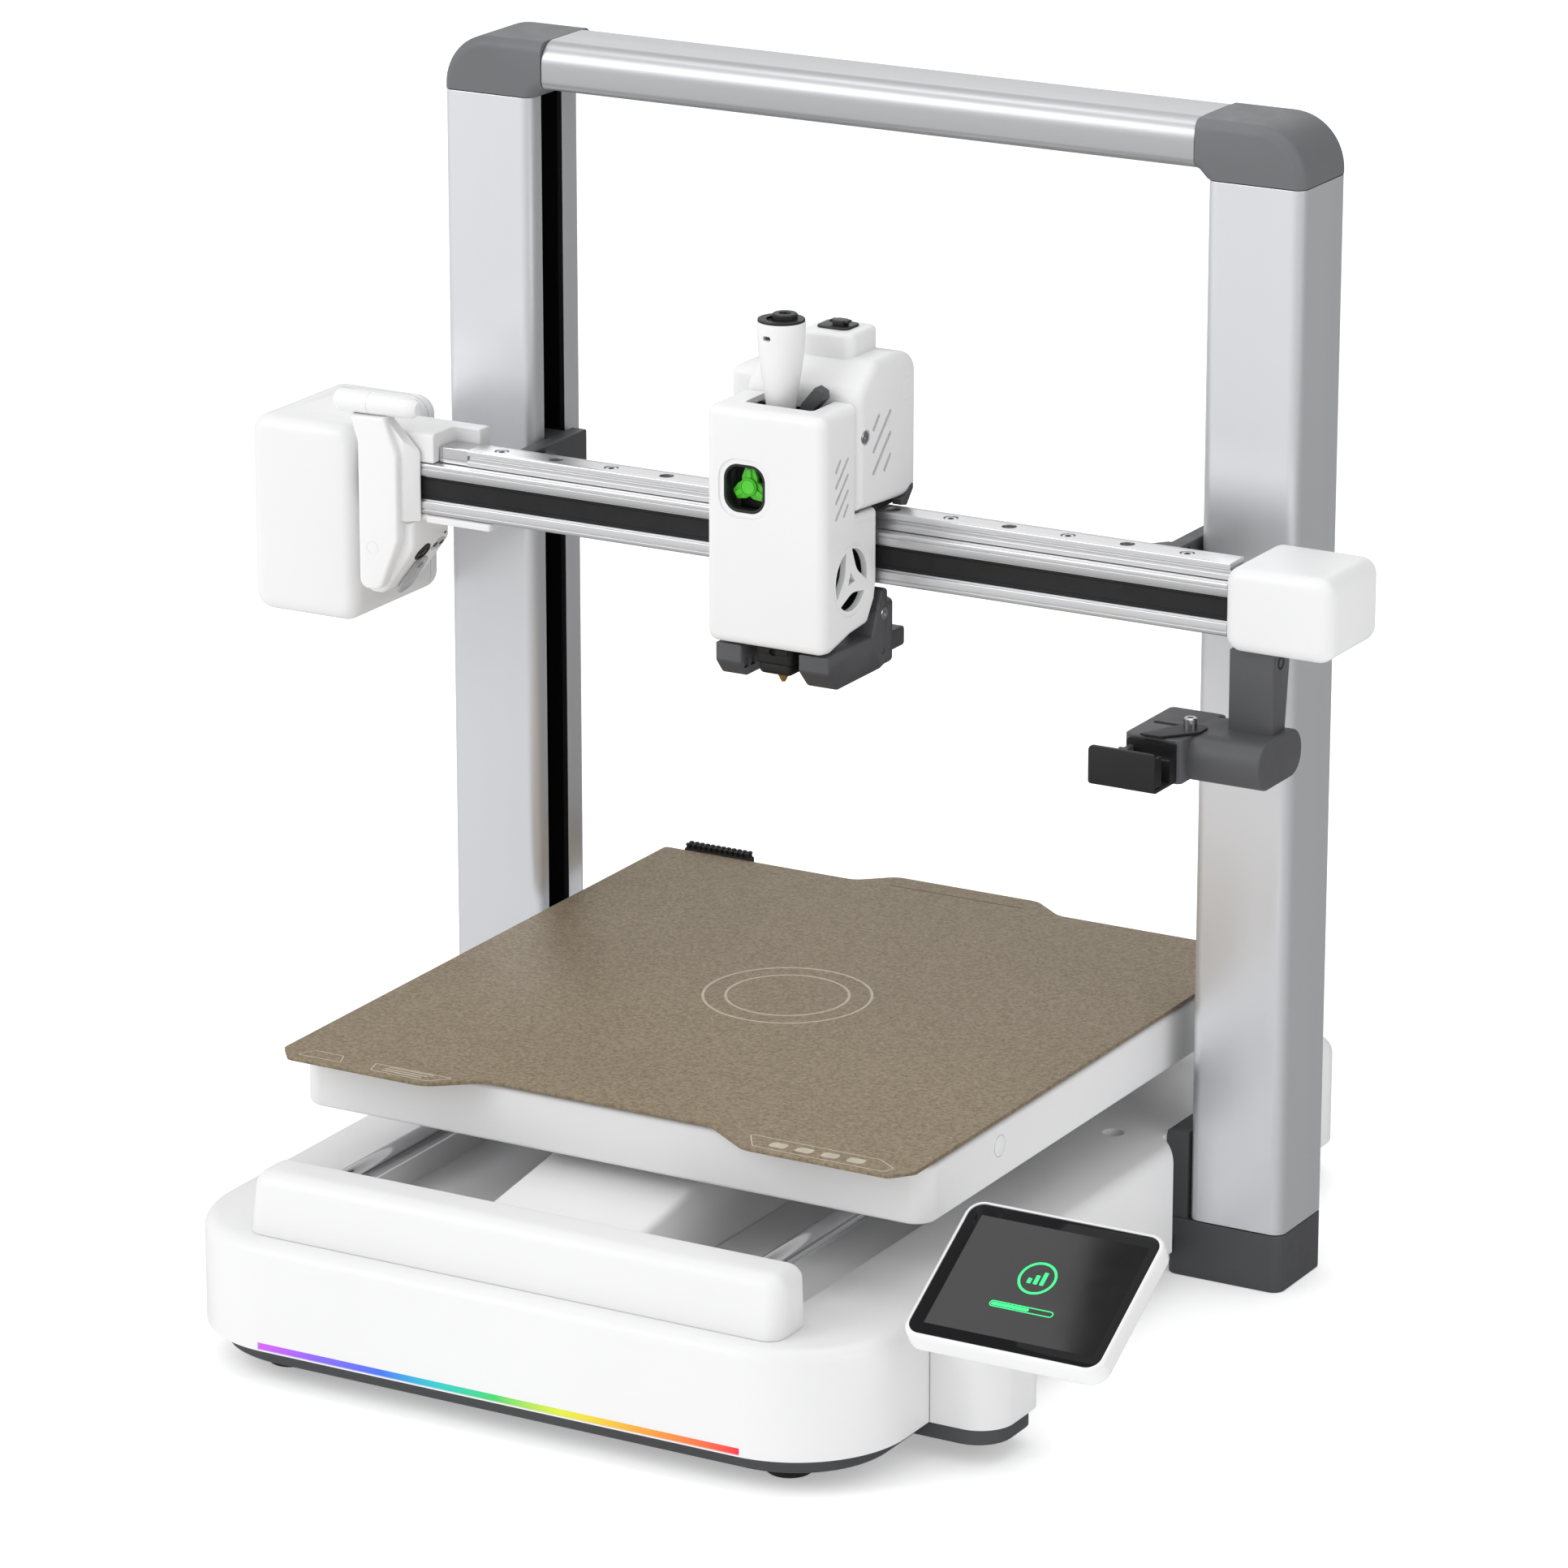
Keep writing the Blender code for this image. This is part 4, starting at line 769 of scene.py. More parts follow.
# Bed ------------------------------------------------------------------------------------------
def build_bed():
    tray = Box("bed_tray")
    pan = box((tray.x0, tray.y0, tray.z0), (tray.x1, 92.0, 106.0), bevel=2.0, radius=9.0, steps=14,
              segments=6)
    fuse(pan, prism([(-50.0, 85.0, 3.0), (48.0, 85.0, 3.0), (33.0, 98.0, 4.0), (-36.0, 98.0, 4.0)],
                    "z", 101.0, 106.8, bevel=0.8))
    carve(pan, box((-134.5, tray.y0 + 3.5, 87.0), (134.5, 85.5, 120.0), radius=6.0))
    sockets = [cylinder((-137.0, 97.0), 4.4, x - 0.35, x + 0.35, "x", 40)
               for x in (tray.x0, tray.x1)]
    carve(pan, gather(sockets))
    screws = [turned([(3.0, tray.z0 - 1.0), (3.0, tray.z0 + 1.6)], (x, y), steps=24)
              for x in (-120.0, 120.0) for y in (-175.0, 70.0)]
    carve(pan, gather(screws))
    finish_piece(pan, "bed_pan", "bed_tray", WHITE, soften=0.4)
    plugs = [cylinder((-137.0, 97.0), 4.1, x - 0.2, x + 0.1, "x", 40, 0.1)
             for x in (tray.x0 + 0.1, tray.x1)]
    attach(gather(plugs), "pan_plugs", "bed_tray", WHITE_GLOSS)
    ribs = [box((-130.0, y, tray.z0 - 0.9), (130.0, y + 2.0, tray.z0 + 0.4), bevel=0.3)
            for y in (-150.0, -110.0, 10.0, 50.0)]
    attach(gather(ribs), "pan_ribs", "bed_tray", WHITE)

    hot = Box("heated_plate")
    plate = box(hot.low, hot.high, bevel=0.5, radius=5.0)
    finish_piece(plate, "heater_plate", "heated_plate", SHADED_ALUMINIUM, soften=0.0)

    sheet = Box("print_plate")
    outline = [(-139.0, -205.0, 3.0), (-132.0, -213.6, 4.0), (-70.0, -213.8, 14.0),
               (-50.5, -198.0, 14.0), (47.0, -198.0, 14.0), (70.0, -213.8, 10.0),
               (132.0, -213.8, 4.0), (139.0, -205.0, 3.0), (139.0, 85.0, 2.0), (47.0, 85.0, 10.0),
               (31.5, 97.0, 9.0), (-34.5, 97.0, 9.0), (-48.0, 85.0, 10.0), (-139.0, 85.0, 2.0)]
    plate = prism(outline, "z", sheet.z0, sheet.z1, bevel=0.25, steps=10, segments=2)
    finish_piece(plate, "textured_plate", "print_plate", BRONZE, soften=0.0)
    top = sheet.z1 - 0.02
    lines = [band([(-98.0, -203.5), (-62.0, -203.5, 1.0), (-70.0, -211.2, 2.0),
                   (-96.0, -211.2, 2.0)], 0.5, top, 0.06),
             band([(66.0, -200.5, 1.0), (122.0, -200.5, 2.0), (131.0, -206.5, 2.0),
                   (129.0, -211.6, 2.0), (73.0, -211.6, 2.0)], 0.5, top, 0.06),
             band([(-130.5, -209.8, 1.0), (-110.0, -209.8, 1.0), (-113.0, -202.5, 2.0),
                   (-126.0, -202.5, 2.0)], 0.5, top, 0.06),
             band(circle(0.0, -56.0, 34.0, 96), 1.1, top, 0.06),
             band(circle(0.0, -56.0, 25.0, 96), 1.1, top, 0.06)]
    lines += [box((-92.0 + 0.5 * k, -209.2 + 2.0 * k, top), (-74.0 + 1.5 * k, -208.4 + 2.0 * k,
                                                              top + 0.06)) for k in range(3)]
    lines += [box((78.0 + 11.0 * k, -208.6, top), (85.0 + 11.0 * k, -203.8, top + 0.06), radius=1.5)
              for k in range(4)]
    attach(gather(lines), "plate_print", "print_plate", PRINT_INK)
    attach(box((-32.0, 85.4, top), (30.0, 86.0, top + 0.05)), "plate_slot", "print_plate", BLACK)

    for side, _ in SIDES:
        bearing = Box("bearing_" + side)
        block = box(bearing.low, bearing.high, bevel=0.8, radius=1.5, axis="y")
        carve(block, cylinder((bearing.cx, 72.0), 4.8, bearing.y0 - 5.0, bearing.y1 + 5.0, "y", 40))
        finish_piece(block, "slide_block_" + side, "bearing_" + side, BLACK)
        seals = [carve(cylinder((bearing.cx, 72.0), 7.2, y, y + 1.0, "y", 40, 0.2),
                       cylinder((bearing.cx, 72.0), 4.7, y - 1.0, y + 2.0, "y", 40))
                 for y in (bearing.y0 - 0.8, bearing.y1 - 0.2)]
        attach(gather(seals), "slide_seals_" + side, "bearing_" + side, RUBBER)

    brush = Box("nozzle_brush")
    strip = prism(rectangle(brush.x0, brush.y0, brush.x1, brush.y1, 1.6), "z", brush.z0, 109.2,
                  bevel=0.6)
    finish_piece(strip, "brush_base", "nozzle_brush", RUBBER, soften=0.0)
    fingers = []
    for row in range(2):
        for k in range(12):
            x = brush.x0 + 1.9 + 2.56 * k
            y = brush.y0 + 1.3 + 2.6 * row
            fingers.append(turned([(1.15, 108.6), (1.0, 109.0), (0.9, 110.4), (1.15, 110.6),
                                   (1.15, 111.1), (0.8, 111.4)], (x, y), steps=12))
    attach(gather(fingers), "brush_fingers", "nozzle_brush", RUBBER)


# Gantry ---------------------------------------------------------------------------------------
def build_rail():
    rail = Box("x_rail")
    front, low = rail.y0, rail.z0
    back, top = rail.y1, rail.z1
    groove = 0.45
    face = [(front, low + 15.6, 0.4), (front + 1.2, low + 15.6), (front + 1.2, low + 15.0),
            (front + 3.0, low + 15.0), (front + 3.0, low + 5.7), (front + 1.2, low + 5.7),
            (front + 1.2, low + 5.1), (front, low + 5.1, 0.4)]
    lower = [(front, low + 2.2), (front + groove, low + 1.9), (front, low + 1.6)]
    upper = [(front, low + 19.0), (front + groove, low + 18.7), (front, low + 18.4)]
    profile = [(front, low, 0.6), (back, low, 0.6), (back, top, 0.6), (front, top, 0.6)]
    profile += upper + face + lower
    bar = prism(profile, "x", rail.x0, rail.x1, steps=3)
    carve(bar, box((-300.0, front + 6.0, low + 5.0), (300.0, back - 3.5, top - 5.0), radius=1.5,
                   axis="x"))
    finish_piece(bar, "rail_extrusion", "x_rail", RAIL_ALUMINIUM, soften=0.12)

    belt = Box("x_belt")
    strip = prism([(belt.y0 + 0.3, belt.z0), (belt.y1, belt.z0), (belt.y1, belt.z1),
                   (belt.y0 + 0.3, belt.z1), (belt.y0 + 0.3, belt.z1 - 1.1), (belt.y0, belt.z1 - 1.3),
                   (belt.y0, belt.z0 + 1.9), (belt.y0 + 0.35, belt.z0 + 1.6)], "x", belt.x0, belt.x1)
    finish_piece(strip, "drive_belt", "x_belt", RUBBER, soften=0.0)

    guide = Box("x_guide_rail")
    a, b, foot, head = guide.y0, guide.y1, guide.z0, guide.z1
    profile = [(a, foot), (b, foot), (b, foot + 1.8), (b - 1.3, foot + 3.0), (b - 1.3, foot + 3.5),
               (b, foot + 4.4), (b, head, 0.5), (a, head, 0.5), (a, foot + 4.4),
               (a + 1.3, foot + 3.5), (a + 1.3, foot + 3.0), (a, foot + 1.8)]
    track = prism(profile, "x", guide.x0, guide.x1, steps=3)
    middle = (a + b) / 2
    places = [-134.9 + 25.25 * k for k in range(13)]
    carve(track, gather([cylinder((x, middle), 2.9, head - 3.6, head + 3.0, steps=32)
                         for x in places]))
    finish_piece(track, "guide_track", "x_guide_rail", RAIL_ALUMINIUM, soften=0.12)
    screws = [cap_screw(x, middle, head - 3.2, 2.5, "z", 2.9, socket=0.55) for x in places[::2]]
    attach(gather(screws), "guide_screws", "x_guide_rail", SCREW_STEEL)
    plugs = [cylinder((x, middle), 2.75, head - 3.6, head - 0.6, steps=32, bevel=0.1)
             for x in places[1::2]]
    attach(gather(plugs), "guide_plugs", "x_guide_rail", BLACK)

    clamp = Box("rail_clamp")
    profile = [(clamp.y0, rail.z1 + 0.3), (clamp.y0, clamp.z1, 2.0), (clamp.y1, clamp.z1, 2.0),
               (clamp.y1, clamp.z0, 2.0), (clamp.y0, clamp.z0), (clamp.y0, rail.z0 - 0.3),
               (rail.y1 + 0.3, rail.z0 - 0.3), (rail.y1 + 0.3, rail.z1 + 0.3)]
    block = prism(profile, "x", clamp.x0, clamp.x1, steps=6)
    carve(block, box((-161.0, -64.0, rail.z1 + 0.1), (-140.0, -41.2, 330.0)))
    finish_piece(block, "rail_block", "rail_clamp", WHITE, soften=0.7, segments=3)
    plate = box((-164.0, -58.8, 280.9), (-134.0, -38.0, 283.6), bevel=0.3, radius=1.0)
    attach(plate, "rail_under_plate", "rail_clamp", WHITE, soften=0.2)
    stub = box((-160.5, guide.y0 + 0.4, foot), (guide.x0 - 0.05, b - 0.4, head - 0.2), bevel=0.3)
    attach(stub, "guide_stop", "x_guide_rail", STEEL)


def build_ends():
    housing = Box("motor_housing")
    shell = box(housing.low, housing.high, bevel=6.0, radius=8.0, axis="y", steps=14, segments=8)
    fuse(shell, box((-240.0, -30.0, 296.0), (-199.0, housing.y1 - 1.0, 315.8), bevel=8.0,
                    radius=8.5, axis="x", steps=14, segments=8))
    carve(shell, box((housing.x0 + 3.0, housing.y0 + 2.5, housing.z0 + 3.0),
                     (housing.x1 - 3.0, 20.0, housing.z1 - 3.0), radius=4.0, axis="y"))
    groove = band(rectangle(housing.x0, housing.z0, housing.x1, housing.z1, 8.0), 0.5,
                  housing.y1 - 9.0, 0.6, "y", steps=14, spare=1.0)
    carve(shell, groove)
    finish_piece(shell, "drive_housing", "motor_housing", WHITE, soften=0.3)
    cover = box((housing.x0 + 3.3, housing.y1 - 4.5, housing.z0 + 3.3),
                (housing.x1 - 3.3, housing.y1 - 2.0, housing.z1 - 3.3), radius=3.7, axis="y")
    carve(cover, row(6, (5.6, 0, 0), (housing.x0 + 9.0, housing.y1 - 6.0, housing.cz - 24.0),
                     (housing.x0 + 11.6, housing.y1 + 1.0, housing.cz + 8.0), radius=1.2, axis="y"))
    attach(cover, "housing_back_cover", "motor_housing", WHITE, soften=0.3)
    screws = [cap_screw(x, z, housing.y1 - 2.1, 1.9, "y", 1.0)
              for x in (housing.x0 + 7.5, housing.x1 - 7.5)
              for z in (housing.z0 + 7.5, housing.z1 - 7.5)]
    attach(gather(screws), "housing_screws", "motor_housing", SCREW_STEEL)
    strip = box((housing.x1 - 15.0, -52.0, housing.z0 - 0.25), (housing.x1 - 9.0, -30.0,
                                                                  housing.z0 + 0.3), radius=2.0)
    attach(strip, "housing_drain", "motor_housing", BLACK)

    motor = Box("x_motor")
    body = box((motor.x0, motor.y0, motor.z0), (motor.x1, motor.y1, motor.z1), bevel=0.8, radius=4.0)
    finish_piece(body, "cross_motor", "x_motor", BLACK, soften=0.2)
    attach(cylinder((-222.0, -38.0), 2.5, motor.z1 - 1.0, 302.0, "z", 32, 0.3),
           "cross_motor_shaft", "x_pulley", SCREW_STEEL)
    finish_piece(toothed_pulley(Box("x_pulley"), "z"), "cross_belt_pulley", "x_pulley",
                 RAIL_ALUMINIUM, soften=0.15)

    cap = Box("end_cap")
    shell = box(cap.low, cap.high, bevel=5.0, radius=6.5, axis="y", steps=14, segments=8)
    carve(shell, box((cap.x0 - 5.0, cap.y0 + 4.0, cap.z0 + 4.0), (cap.x0 + 30.0, cap.y1 - 4.0,
                                                                   cap.z1 - 4.0), radius=2.0))
    finish_piece(shell, "tension_cap", "end_cap", WHITE, soften=0.3)
    screws = [cap_screw(206.0 + 14.0 * k, 297.5, cap.y1 - 0.4, 2.0, "y", 0.8) for k in range(2)]
    attach(gather(screws), "tension_screws", "end_cap", SCREW_STEEL)


def build_z_carriage(side, sign):
    """Die-cast bracket with triangular pockets, its arm and the brass nut on the lead screw."""
    node = "z_carriage_" + side
    back = Box("x_rail").y1
    low, high = span(sign, 118.0, 148.3)
    bracket = box((low, back + 0.3, 284.5), (high, back + 4.5, 304.0), bevel=0.6)
    arm_low, arm_high = span(sign, 141.5, 148.3)
    fuse(bracket, box((arm_low, back + 1.0, 284.0), (arm_high, 28.0, 302.5), bevel=0.6))
    gusset = [(119.0, back + 2.0), (143.0, back + 2.0), (143.0, -3.0), (138.0, -3.0),
              (119.0, back + 12.0)]
    fuse(bracket, prism(sided(gusset, sign), "z", 288.0, 301.0, bevel=0.4))
    hollows = [[(122.0, -30.5, 0.6), (130.0, -30.5, 0.6), (130.0, -20.5, 0.6), (122.0, -28.0, 0.6)],
               [(132.5, -30.5, 0.6), (139.5, -30.5, 0.6), (132.5, -19.0, 0.6)],
               [(140.5, -27.5, 0.6), (140.5, -7.5, 0.6), (133.5, -15.5, 0.6)]]
    carve(bracket, gather([prism(sided(hollow, sign), "z", 292.0, 305.0, steps=4)
                           for hollow in hollows]))
    tongue_low, tongue_high = span(sign, 146.5, 165.0)
    fuse(bracket, box((tongue_low, 10.1, 287.0), (tongue_high, 22.9, 302.0)),
         cylinder((SCREW_X * sign, SCREW_Y), 9.0, 286.0, 303.0, "z", 48, 0.8))
    pockets = [[(121.0, 287.5, 0.8), (133.0, 287.5, 0.8), (121.0, 300.5, 0.8)],
               [(136.5, 288.5, 0.8), (136.5, 301.0, 0.8), (124.5, 301.0, 0.8)]]
    for pocket in pockets:
        carve(bracket, prism(sided(pocket, sign), "y", back - 2.0, back + 8.0, steps=4))
    wall = [[(-28.0, 287.5, 0.8), (-9.0, 287.5, 0.8), (-28.0, 300.5, 0.8)],
            [(-5.0, 288.5, 0.8), (-5.0, 301.0, 0.8), (-24.5, 301.0, 0.8)],
            [(-1.0, 287.5, 0.8), (5.0, 287.5, 0.8), (-1.0, 298.0, 0.8)]]
    for pocket in wall:
        carve(bracket, prism(pocket, "x", arm_low - 2.0, arm_high + 2.0, steps=4))
    carve(bracket, cylinder((SCREW_X * sign, SCREW_Y), 6.0, 270.0, 320.0, "z", 48))
    finish_piece(bracket, "lift_carriage_" + side, node, DARK, soften=0.25)
    nut = turned([(5.9, 282.5), (5.9, 302.5), (7.5, 303.1), (7.5, 305.6), (7.1, 306.0)],
                 (SCREW_X * sign, SCREW_Y), steps=48)
    carve(nut, cylinder((SCREW_X * sign, SCREW_Y), 4.15, 270.0, 320.0, "z", 48))
    attach(nut, "lift_nut_" + side, node, BRASS)
    rollers = [turned([(2.0, z), (3.4, z + 0.3), (3.4, z + 4.2), (2.0, z + 4.5)],
                      (152.8 * sign, 27.2), steps=32) for z in (288.0, 297.0)]
    attach(gather(rollers), "lift_rollers_" + side, node, RUBBER)


def build_gantry():
    build_rail()
    build_ends()
    for side, sign in SIDES:
        build_z_carriage(side, sign)


def slope_frame():
    """Matrix from a lens-face frame (x along the slope, y back, z outwards) to the printer."""
    outward = Vector((20.2, 0.0, -14.3)).normalized()
    along = Vector((-14.3, 0.0, -20.2)).normalized()
    across = outward.cross(along)
    matrix = Matrix((along, across, outward)).transposed().to_4x4()
    matrix.translation = Vector((-174.9, -48.0, 260.2))
    return matrix


def build_camera():
    arm = Box("camera_arm")
    body = [(-194.5, 323.0), (-178.5, 323.5), (-172.4, 308.5, 5.0), (-172.4, 273.5, 5.0),
            (-181.0, 252.0, 5.0), (-191.0, 252.0, 4.0), (-191.0, 312.0, 5.0)]
    front = prism(body, "y", arm.y0, -57.8, bevel=1.4, steps=10, segments=6)
    flank = prism([(-188.0, 321.5), (-178.0, 321.5), (-166.4, 309.5, 4.0), (-166.4, 281.2, 0.5),
                   (-188.0, 281.2)], "y", -63.5, -57.8, bevel=0.5)
    carve(flank, prism([(-171.8, -64.2), (-166.1, -58.6), (-160.0, -58.6), (-160.0, -72.0),
                        (-171.8, -72.0)], "z", 260.0, 340.0))
    lower = prism([(-190.5, 280.8), (-168.4, 280.8, 0.5), (-168.4, 269.2, 3.0),
                   (-183.0, 249.3, 4.0), (-190.5, 249.3, 3.0)], "y", -61.5, -34.0, bevel=2.0,
                  segments=6)
    fuse(front, flank, lower)
    finish_piece(front, "camera_body", "camera_arm", WHITE_GLOSS, soften=0.3)
    bar = turned([(2.6, -202.8), (4.3, -202.2), (4.8, -200.8), (4.6, -187.0), (4.4, -186.8),
                  (4.4, -186.5), (4.6, -186.3), (4.2, -171.0), (3.8, -167.0), (2.6, -165.0),
                  (1.0, -164.5)], (-61.5, 327.6), "x", 48)
    attach(bar, "camera_handle", "camera_arm", WHITE_GLOSS)
    badge = band(circle(-184.6, 269.5, 2.8, 40), 0.45, arm.y0 - 0.12, 0.2, "y")
    attach(badge, "camera_badge", "camera_arm", WHITE)

    face = slope_frame()
    at = Matrix.Translation((-7.2, -3.0, 0.0))
    parts = {
        "lens_ring": (turned([(4.3, -0.6), (4.3, 0.35), (3.9, 0.7), (3.2, 0.7), (3.0, 0.1),
                              (3.0, -0.4)], (0.0, 0.0), steps=48), BLACK),
        "lens_iris": (turned([(2.9, -0.3), (2.9, 0.12), (1.6, -0.05), (1.5, -0.2)],
                             (0.0, 0.0), steps=48), DARK),
        "lens_glass": (turned([(2.95, 0.10), (2.6, 0.30), (1.8, 0.55), (0.9, 0.68), (0.05, 0.72)],
                              (0.0, 0.0), steps=48), SCREEN_GLASS),
    }
    for name, (part, material) in parts.items():
        attach(moved(part, face @ at), "camera_" + name, "camera_arm", material)
    window = moved(box((-3.2, -4.4, -0.4), (3.2, 4.4, 0.12), radius=3.0), face
                   @ Matrix.Translation((-8.4, 7.8, 0.0)))
    attach(window, "camera_sensor_window", "camera_arm", CLEAR)
    eyes = [moved(turned([(1.3, 0.05), (1.3, 0.2), (0.9, 0.28)], (0.0, y), steps=24), face
                  @ Matrix.Translation((-8.4, 7.8, 0.0))) for y in (-2.2, 2.2)]
    eyes.append(moved(turned([(0.6, -0.3), (0.6, 0.06)], (0.0, 0.0), steps=16), face
                      @ Matrix.Translation((-14.5, 7.8, 0.0))))
    attach(gather(eyes), "camera_sensor_eyes", "camera_arm", BLACK)

    cover = moved(prism([(-4.0, -4.0, 3.4), (-4.0, 4.0, 3.4), (15.6, 6.0, 5.2), (15.6, -6.0, 5.2)],
                        "z", 0.42, 1.5, bevel=0.3, steps=12, segments=2), face)
    carve(cover, moved(turned([(4.2, 1.0), (4.4, 2.0)], (9.5, 0.0), steps=48), face))
    finish_piece(cover, "lens_flap", "lens_cover", CLEAR, soften=0.0)
    pin = moved(turned([(1.5, 0.1), (1.5, 1.7), (1.1, 2.0)], (0.0, 0.0), steps=32), face)
    attach(pin, "lens_flap_pin", "lens_cover", SCREW_STEEL)


def build_wiper():
    arm = Box("wiper_arm")
    post = prism([(-56.0, 240.0), (-56.0, arm.z1), (-41.0, arm.z1), (-45.5, 240.0)], "x", 190.5,
                 209.0, bevel=0.8)
    boss = box((178.5, -73.5, arm.z0), (212.0, arm.y1, 247.6), bevel=0.8, radius=8.8, axis="x",
               steps=14)
    left = box((158.0, arm.y0, 230.0), (182.0, -38.5, 247.3), bevel=0.6, radius=2.5)
    fuse(post, boss, left)
    slots = [box((161.5, -61.5, 244.4), (184.0, -58.5, 250.0), radius=1.4),
             box((180.0, -43.8, 244.4), (189.0, -41.4, 250.0), radius=1.1)]
    carve(post, gather(slots))
    finish_piece(post, "wiper_post", "wiper_arm", MID, soften=0.3)
    attach(turned([(2.6, 247.5), (2.6, 251.6), (2.2, 252.0), (1.2, 252.0), (1.0, 250.0)],
                  (178.0, -62.4), steps=32), "wiper_screw", "wiper_arm", SCREW_STEEL)
    attach(band(circle(-49.5, 274.5, 2.6, 32), 0.9, 208.8, 0.35, "x"), "wiper_post_screw",
           "wiper_arm", BLACK)

    blade = Box("wiper_bracket")
    shield = prism([(152.3, 231.4, 1.2), (180.3, 231.4, 1.2), (180.3, blade.z1, 2.0),
                    (152.3, blade.z1, 2.0)], "y", blade.y0, -95.0, bevel=0.3, steps=5)
    flange = box((178.8, -96.0, 233.0), (180.3, -91.0, 244.5), bevel=0.3)
    floor = box((167.0, -95.5, blade.z0), (180.3, -78.4, 232.4), bevel=0.3)
    back = prism([(160.0, blade.z0, 0.5), (180.3, blade.z0, 0.5), (180.3, 246.2, 1.0),
                  (160.0, 246.2, 1.5)], "y", -79.8, blade.y1, steps=4)
    step = box((170.0, -84.0, 231.8), (180.3, -78.6, 241.0), bevel=0.4)
    fuse(shield, flange, floor, back, step)
    finish_piece(shield, "wiper_shield", "wiper_bracket", BLACK, soften=0.2)
    tab = prism([(165.0, -79.6, 0.5), (174.0, -79.6, 0.5), (184.5, -67.0, 2.0), (184.5, -58.8, 3.0),
                 (175.0, -58.0, 2.5), (172.0, -66.0, 2.0)], "z", 247.62, 248.5, steps=6)
    attach(tab, "wiper_spring_tab", "wiper_arm", BLACK, soften=0.15)
    pin = cylinder((-86.0, 242.6), 1.5, 160.0, 164.0, "x", 24, 0.3)
    fuse(pin, box((161.0, -87.0, 236.0), (163.0, -79.0, 243.6), bevel=0.3))
    attach(pin, "wiper_pad", "wiper_bracket", DARK)


# Print head -----------------------------------------------------------------------------------
def leaning_slots(x, ends, width):
    """Cutters for vent slots in a side face, each from one (y, z) end to the other."""
    cutters = []
    for first, last in ends:
        along = (Vector(last) - Vector(first)).normalized()
        across = Vector((-along.y, along.x)) * width / 2
        a, b = Vector(first) + along * width / 2, Vector(last) - along * width / 2
        outline = []
        for centre, start in ((b, -across), (a, across)):
            outline += [centre + Matrix.Rotation(math.pi * k / 6, 2) @ start for k in range(7)]
        cutters.append(prism([tuple(p) for p in outline], "x", x - 3.0, x + 2.0))
    return gather(cutters)


def build_front_shell():
    head = Box("head_front_shell")
    x0, y0, x1, top = head.x0, head.y0, head.x1, head.z1
    split = -76.0
    side = [(y0, 266.0, 4.0), (-96.0, 265.0, 4.0), (-80.0, 268.8, 7.0), (-67.0, 270.0, 3.0),
            (-61.0, 279.0, 2.0), (-59.5, 286.0, 1.0), (-59.5, 314.9), (split, 315.9), (split, top),
            (y0, top, 4.0)]
    shell = prism(side, "x", x0, x1, bevel=4.2, steps=8, segments=8)
    carve(shell, box((x0 + 2.5, y0 + 2.5, 274.0), (x1 - 2.5, -40.0, 313.2)),
          box((x0 + 2.8, y0 + 2.8, 300.0), (x1 - 2.8, -70.0, top - 2.5)),
          box((-6.0, -99.0, 240.0), (39.0, -72.0, 280.0)),
          box((2.0, -93.0, top - 10.0), (32.0, -69.0, top + 10.0), radius=2.0),
          box((-1.5, y0 - 5.0, 318.1), (16.5, y0 + 6.0, 337.1), radius=6.3, axis="y", steps=12))
    dish = box((-3.6, y0 - 0.5, 316.0), (18.6, y0 + 0.55, 339.2), radius=8.0, axis="y", steps=12)
    carve(shell, dish)
    vents = [((-94.0, 336.0), (-89.8, 340.8)), ((-94.0, 329.9), (-83.9, 340.3)),
             ((-94.0, 323.9), (-83.9, 333.9)), ((-94.0, 317.5), (-83.9, 327.7)),
             ((-87.8, 317.4), (-83.9, 322.2))]
    carve(shell, leaning_slots(x1, vents, 1.5))
    carve(shell, fan_openings(x1))
    ring = band(circle(*FAN, 14.6, 64), 1.3, x1 - 0.35, 1.0, "x")
    carve(shell, ring)
    finish_piece(shell, "head_cover", "head_front_shell", WHITE, soften=0.35)

    bezel = band(rectangle(-1.5, 318.1, 16.5, 337.1, 6.3), 1.15, y0 + 0.5, 4.0, "y", steps=12)
    attach(bezel, "window_bezel", "head_front_shell", BLACK, soften=0.25)
    shroud = carve(cylinder(FAN, 14.6, 30.6, x1 - 2.7, "x", 48),
                   cylinder(FAN, 12.8, 32.4, x1 + 2.0, "x", 48))
    attach(shroud, "fan_shroud", "head_front_shell", BLACK)
    attach(box((x1 - 3.6, -95.0, 316.0), (x1 - 2.8, -83.0, 342.0)), "vent_backing",
           "head_front_shell", DARK)
    back = box((-1.0, y0 + 9.2, 318.6), (16.0, y0 + 10.2, 336.6), radius=6.0, axis="y", steps=12)
    attach(back, "window_backing", "head_front_shell", BLACK)
    for name, low, high in (("left", -2.6, -1.6), ("right", 16.6, 17.6)):
        attach(box((low, y0 + 3.0, 320.0), (high, y0 + 10.0, 335.0)), "window_wall_" + name,
               "head_front_shell", DARK)


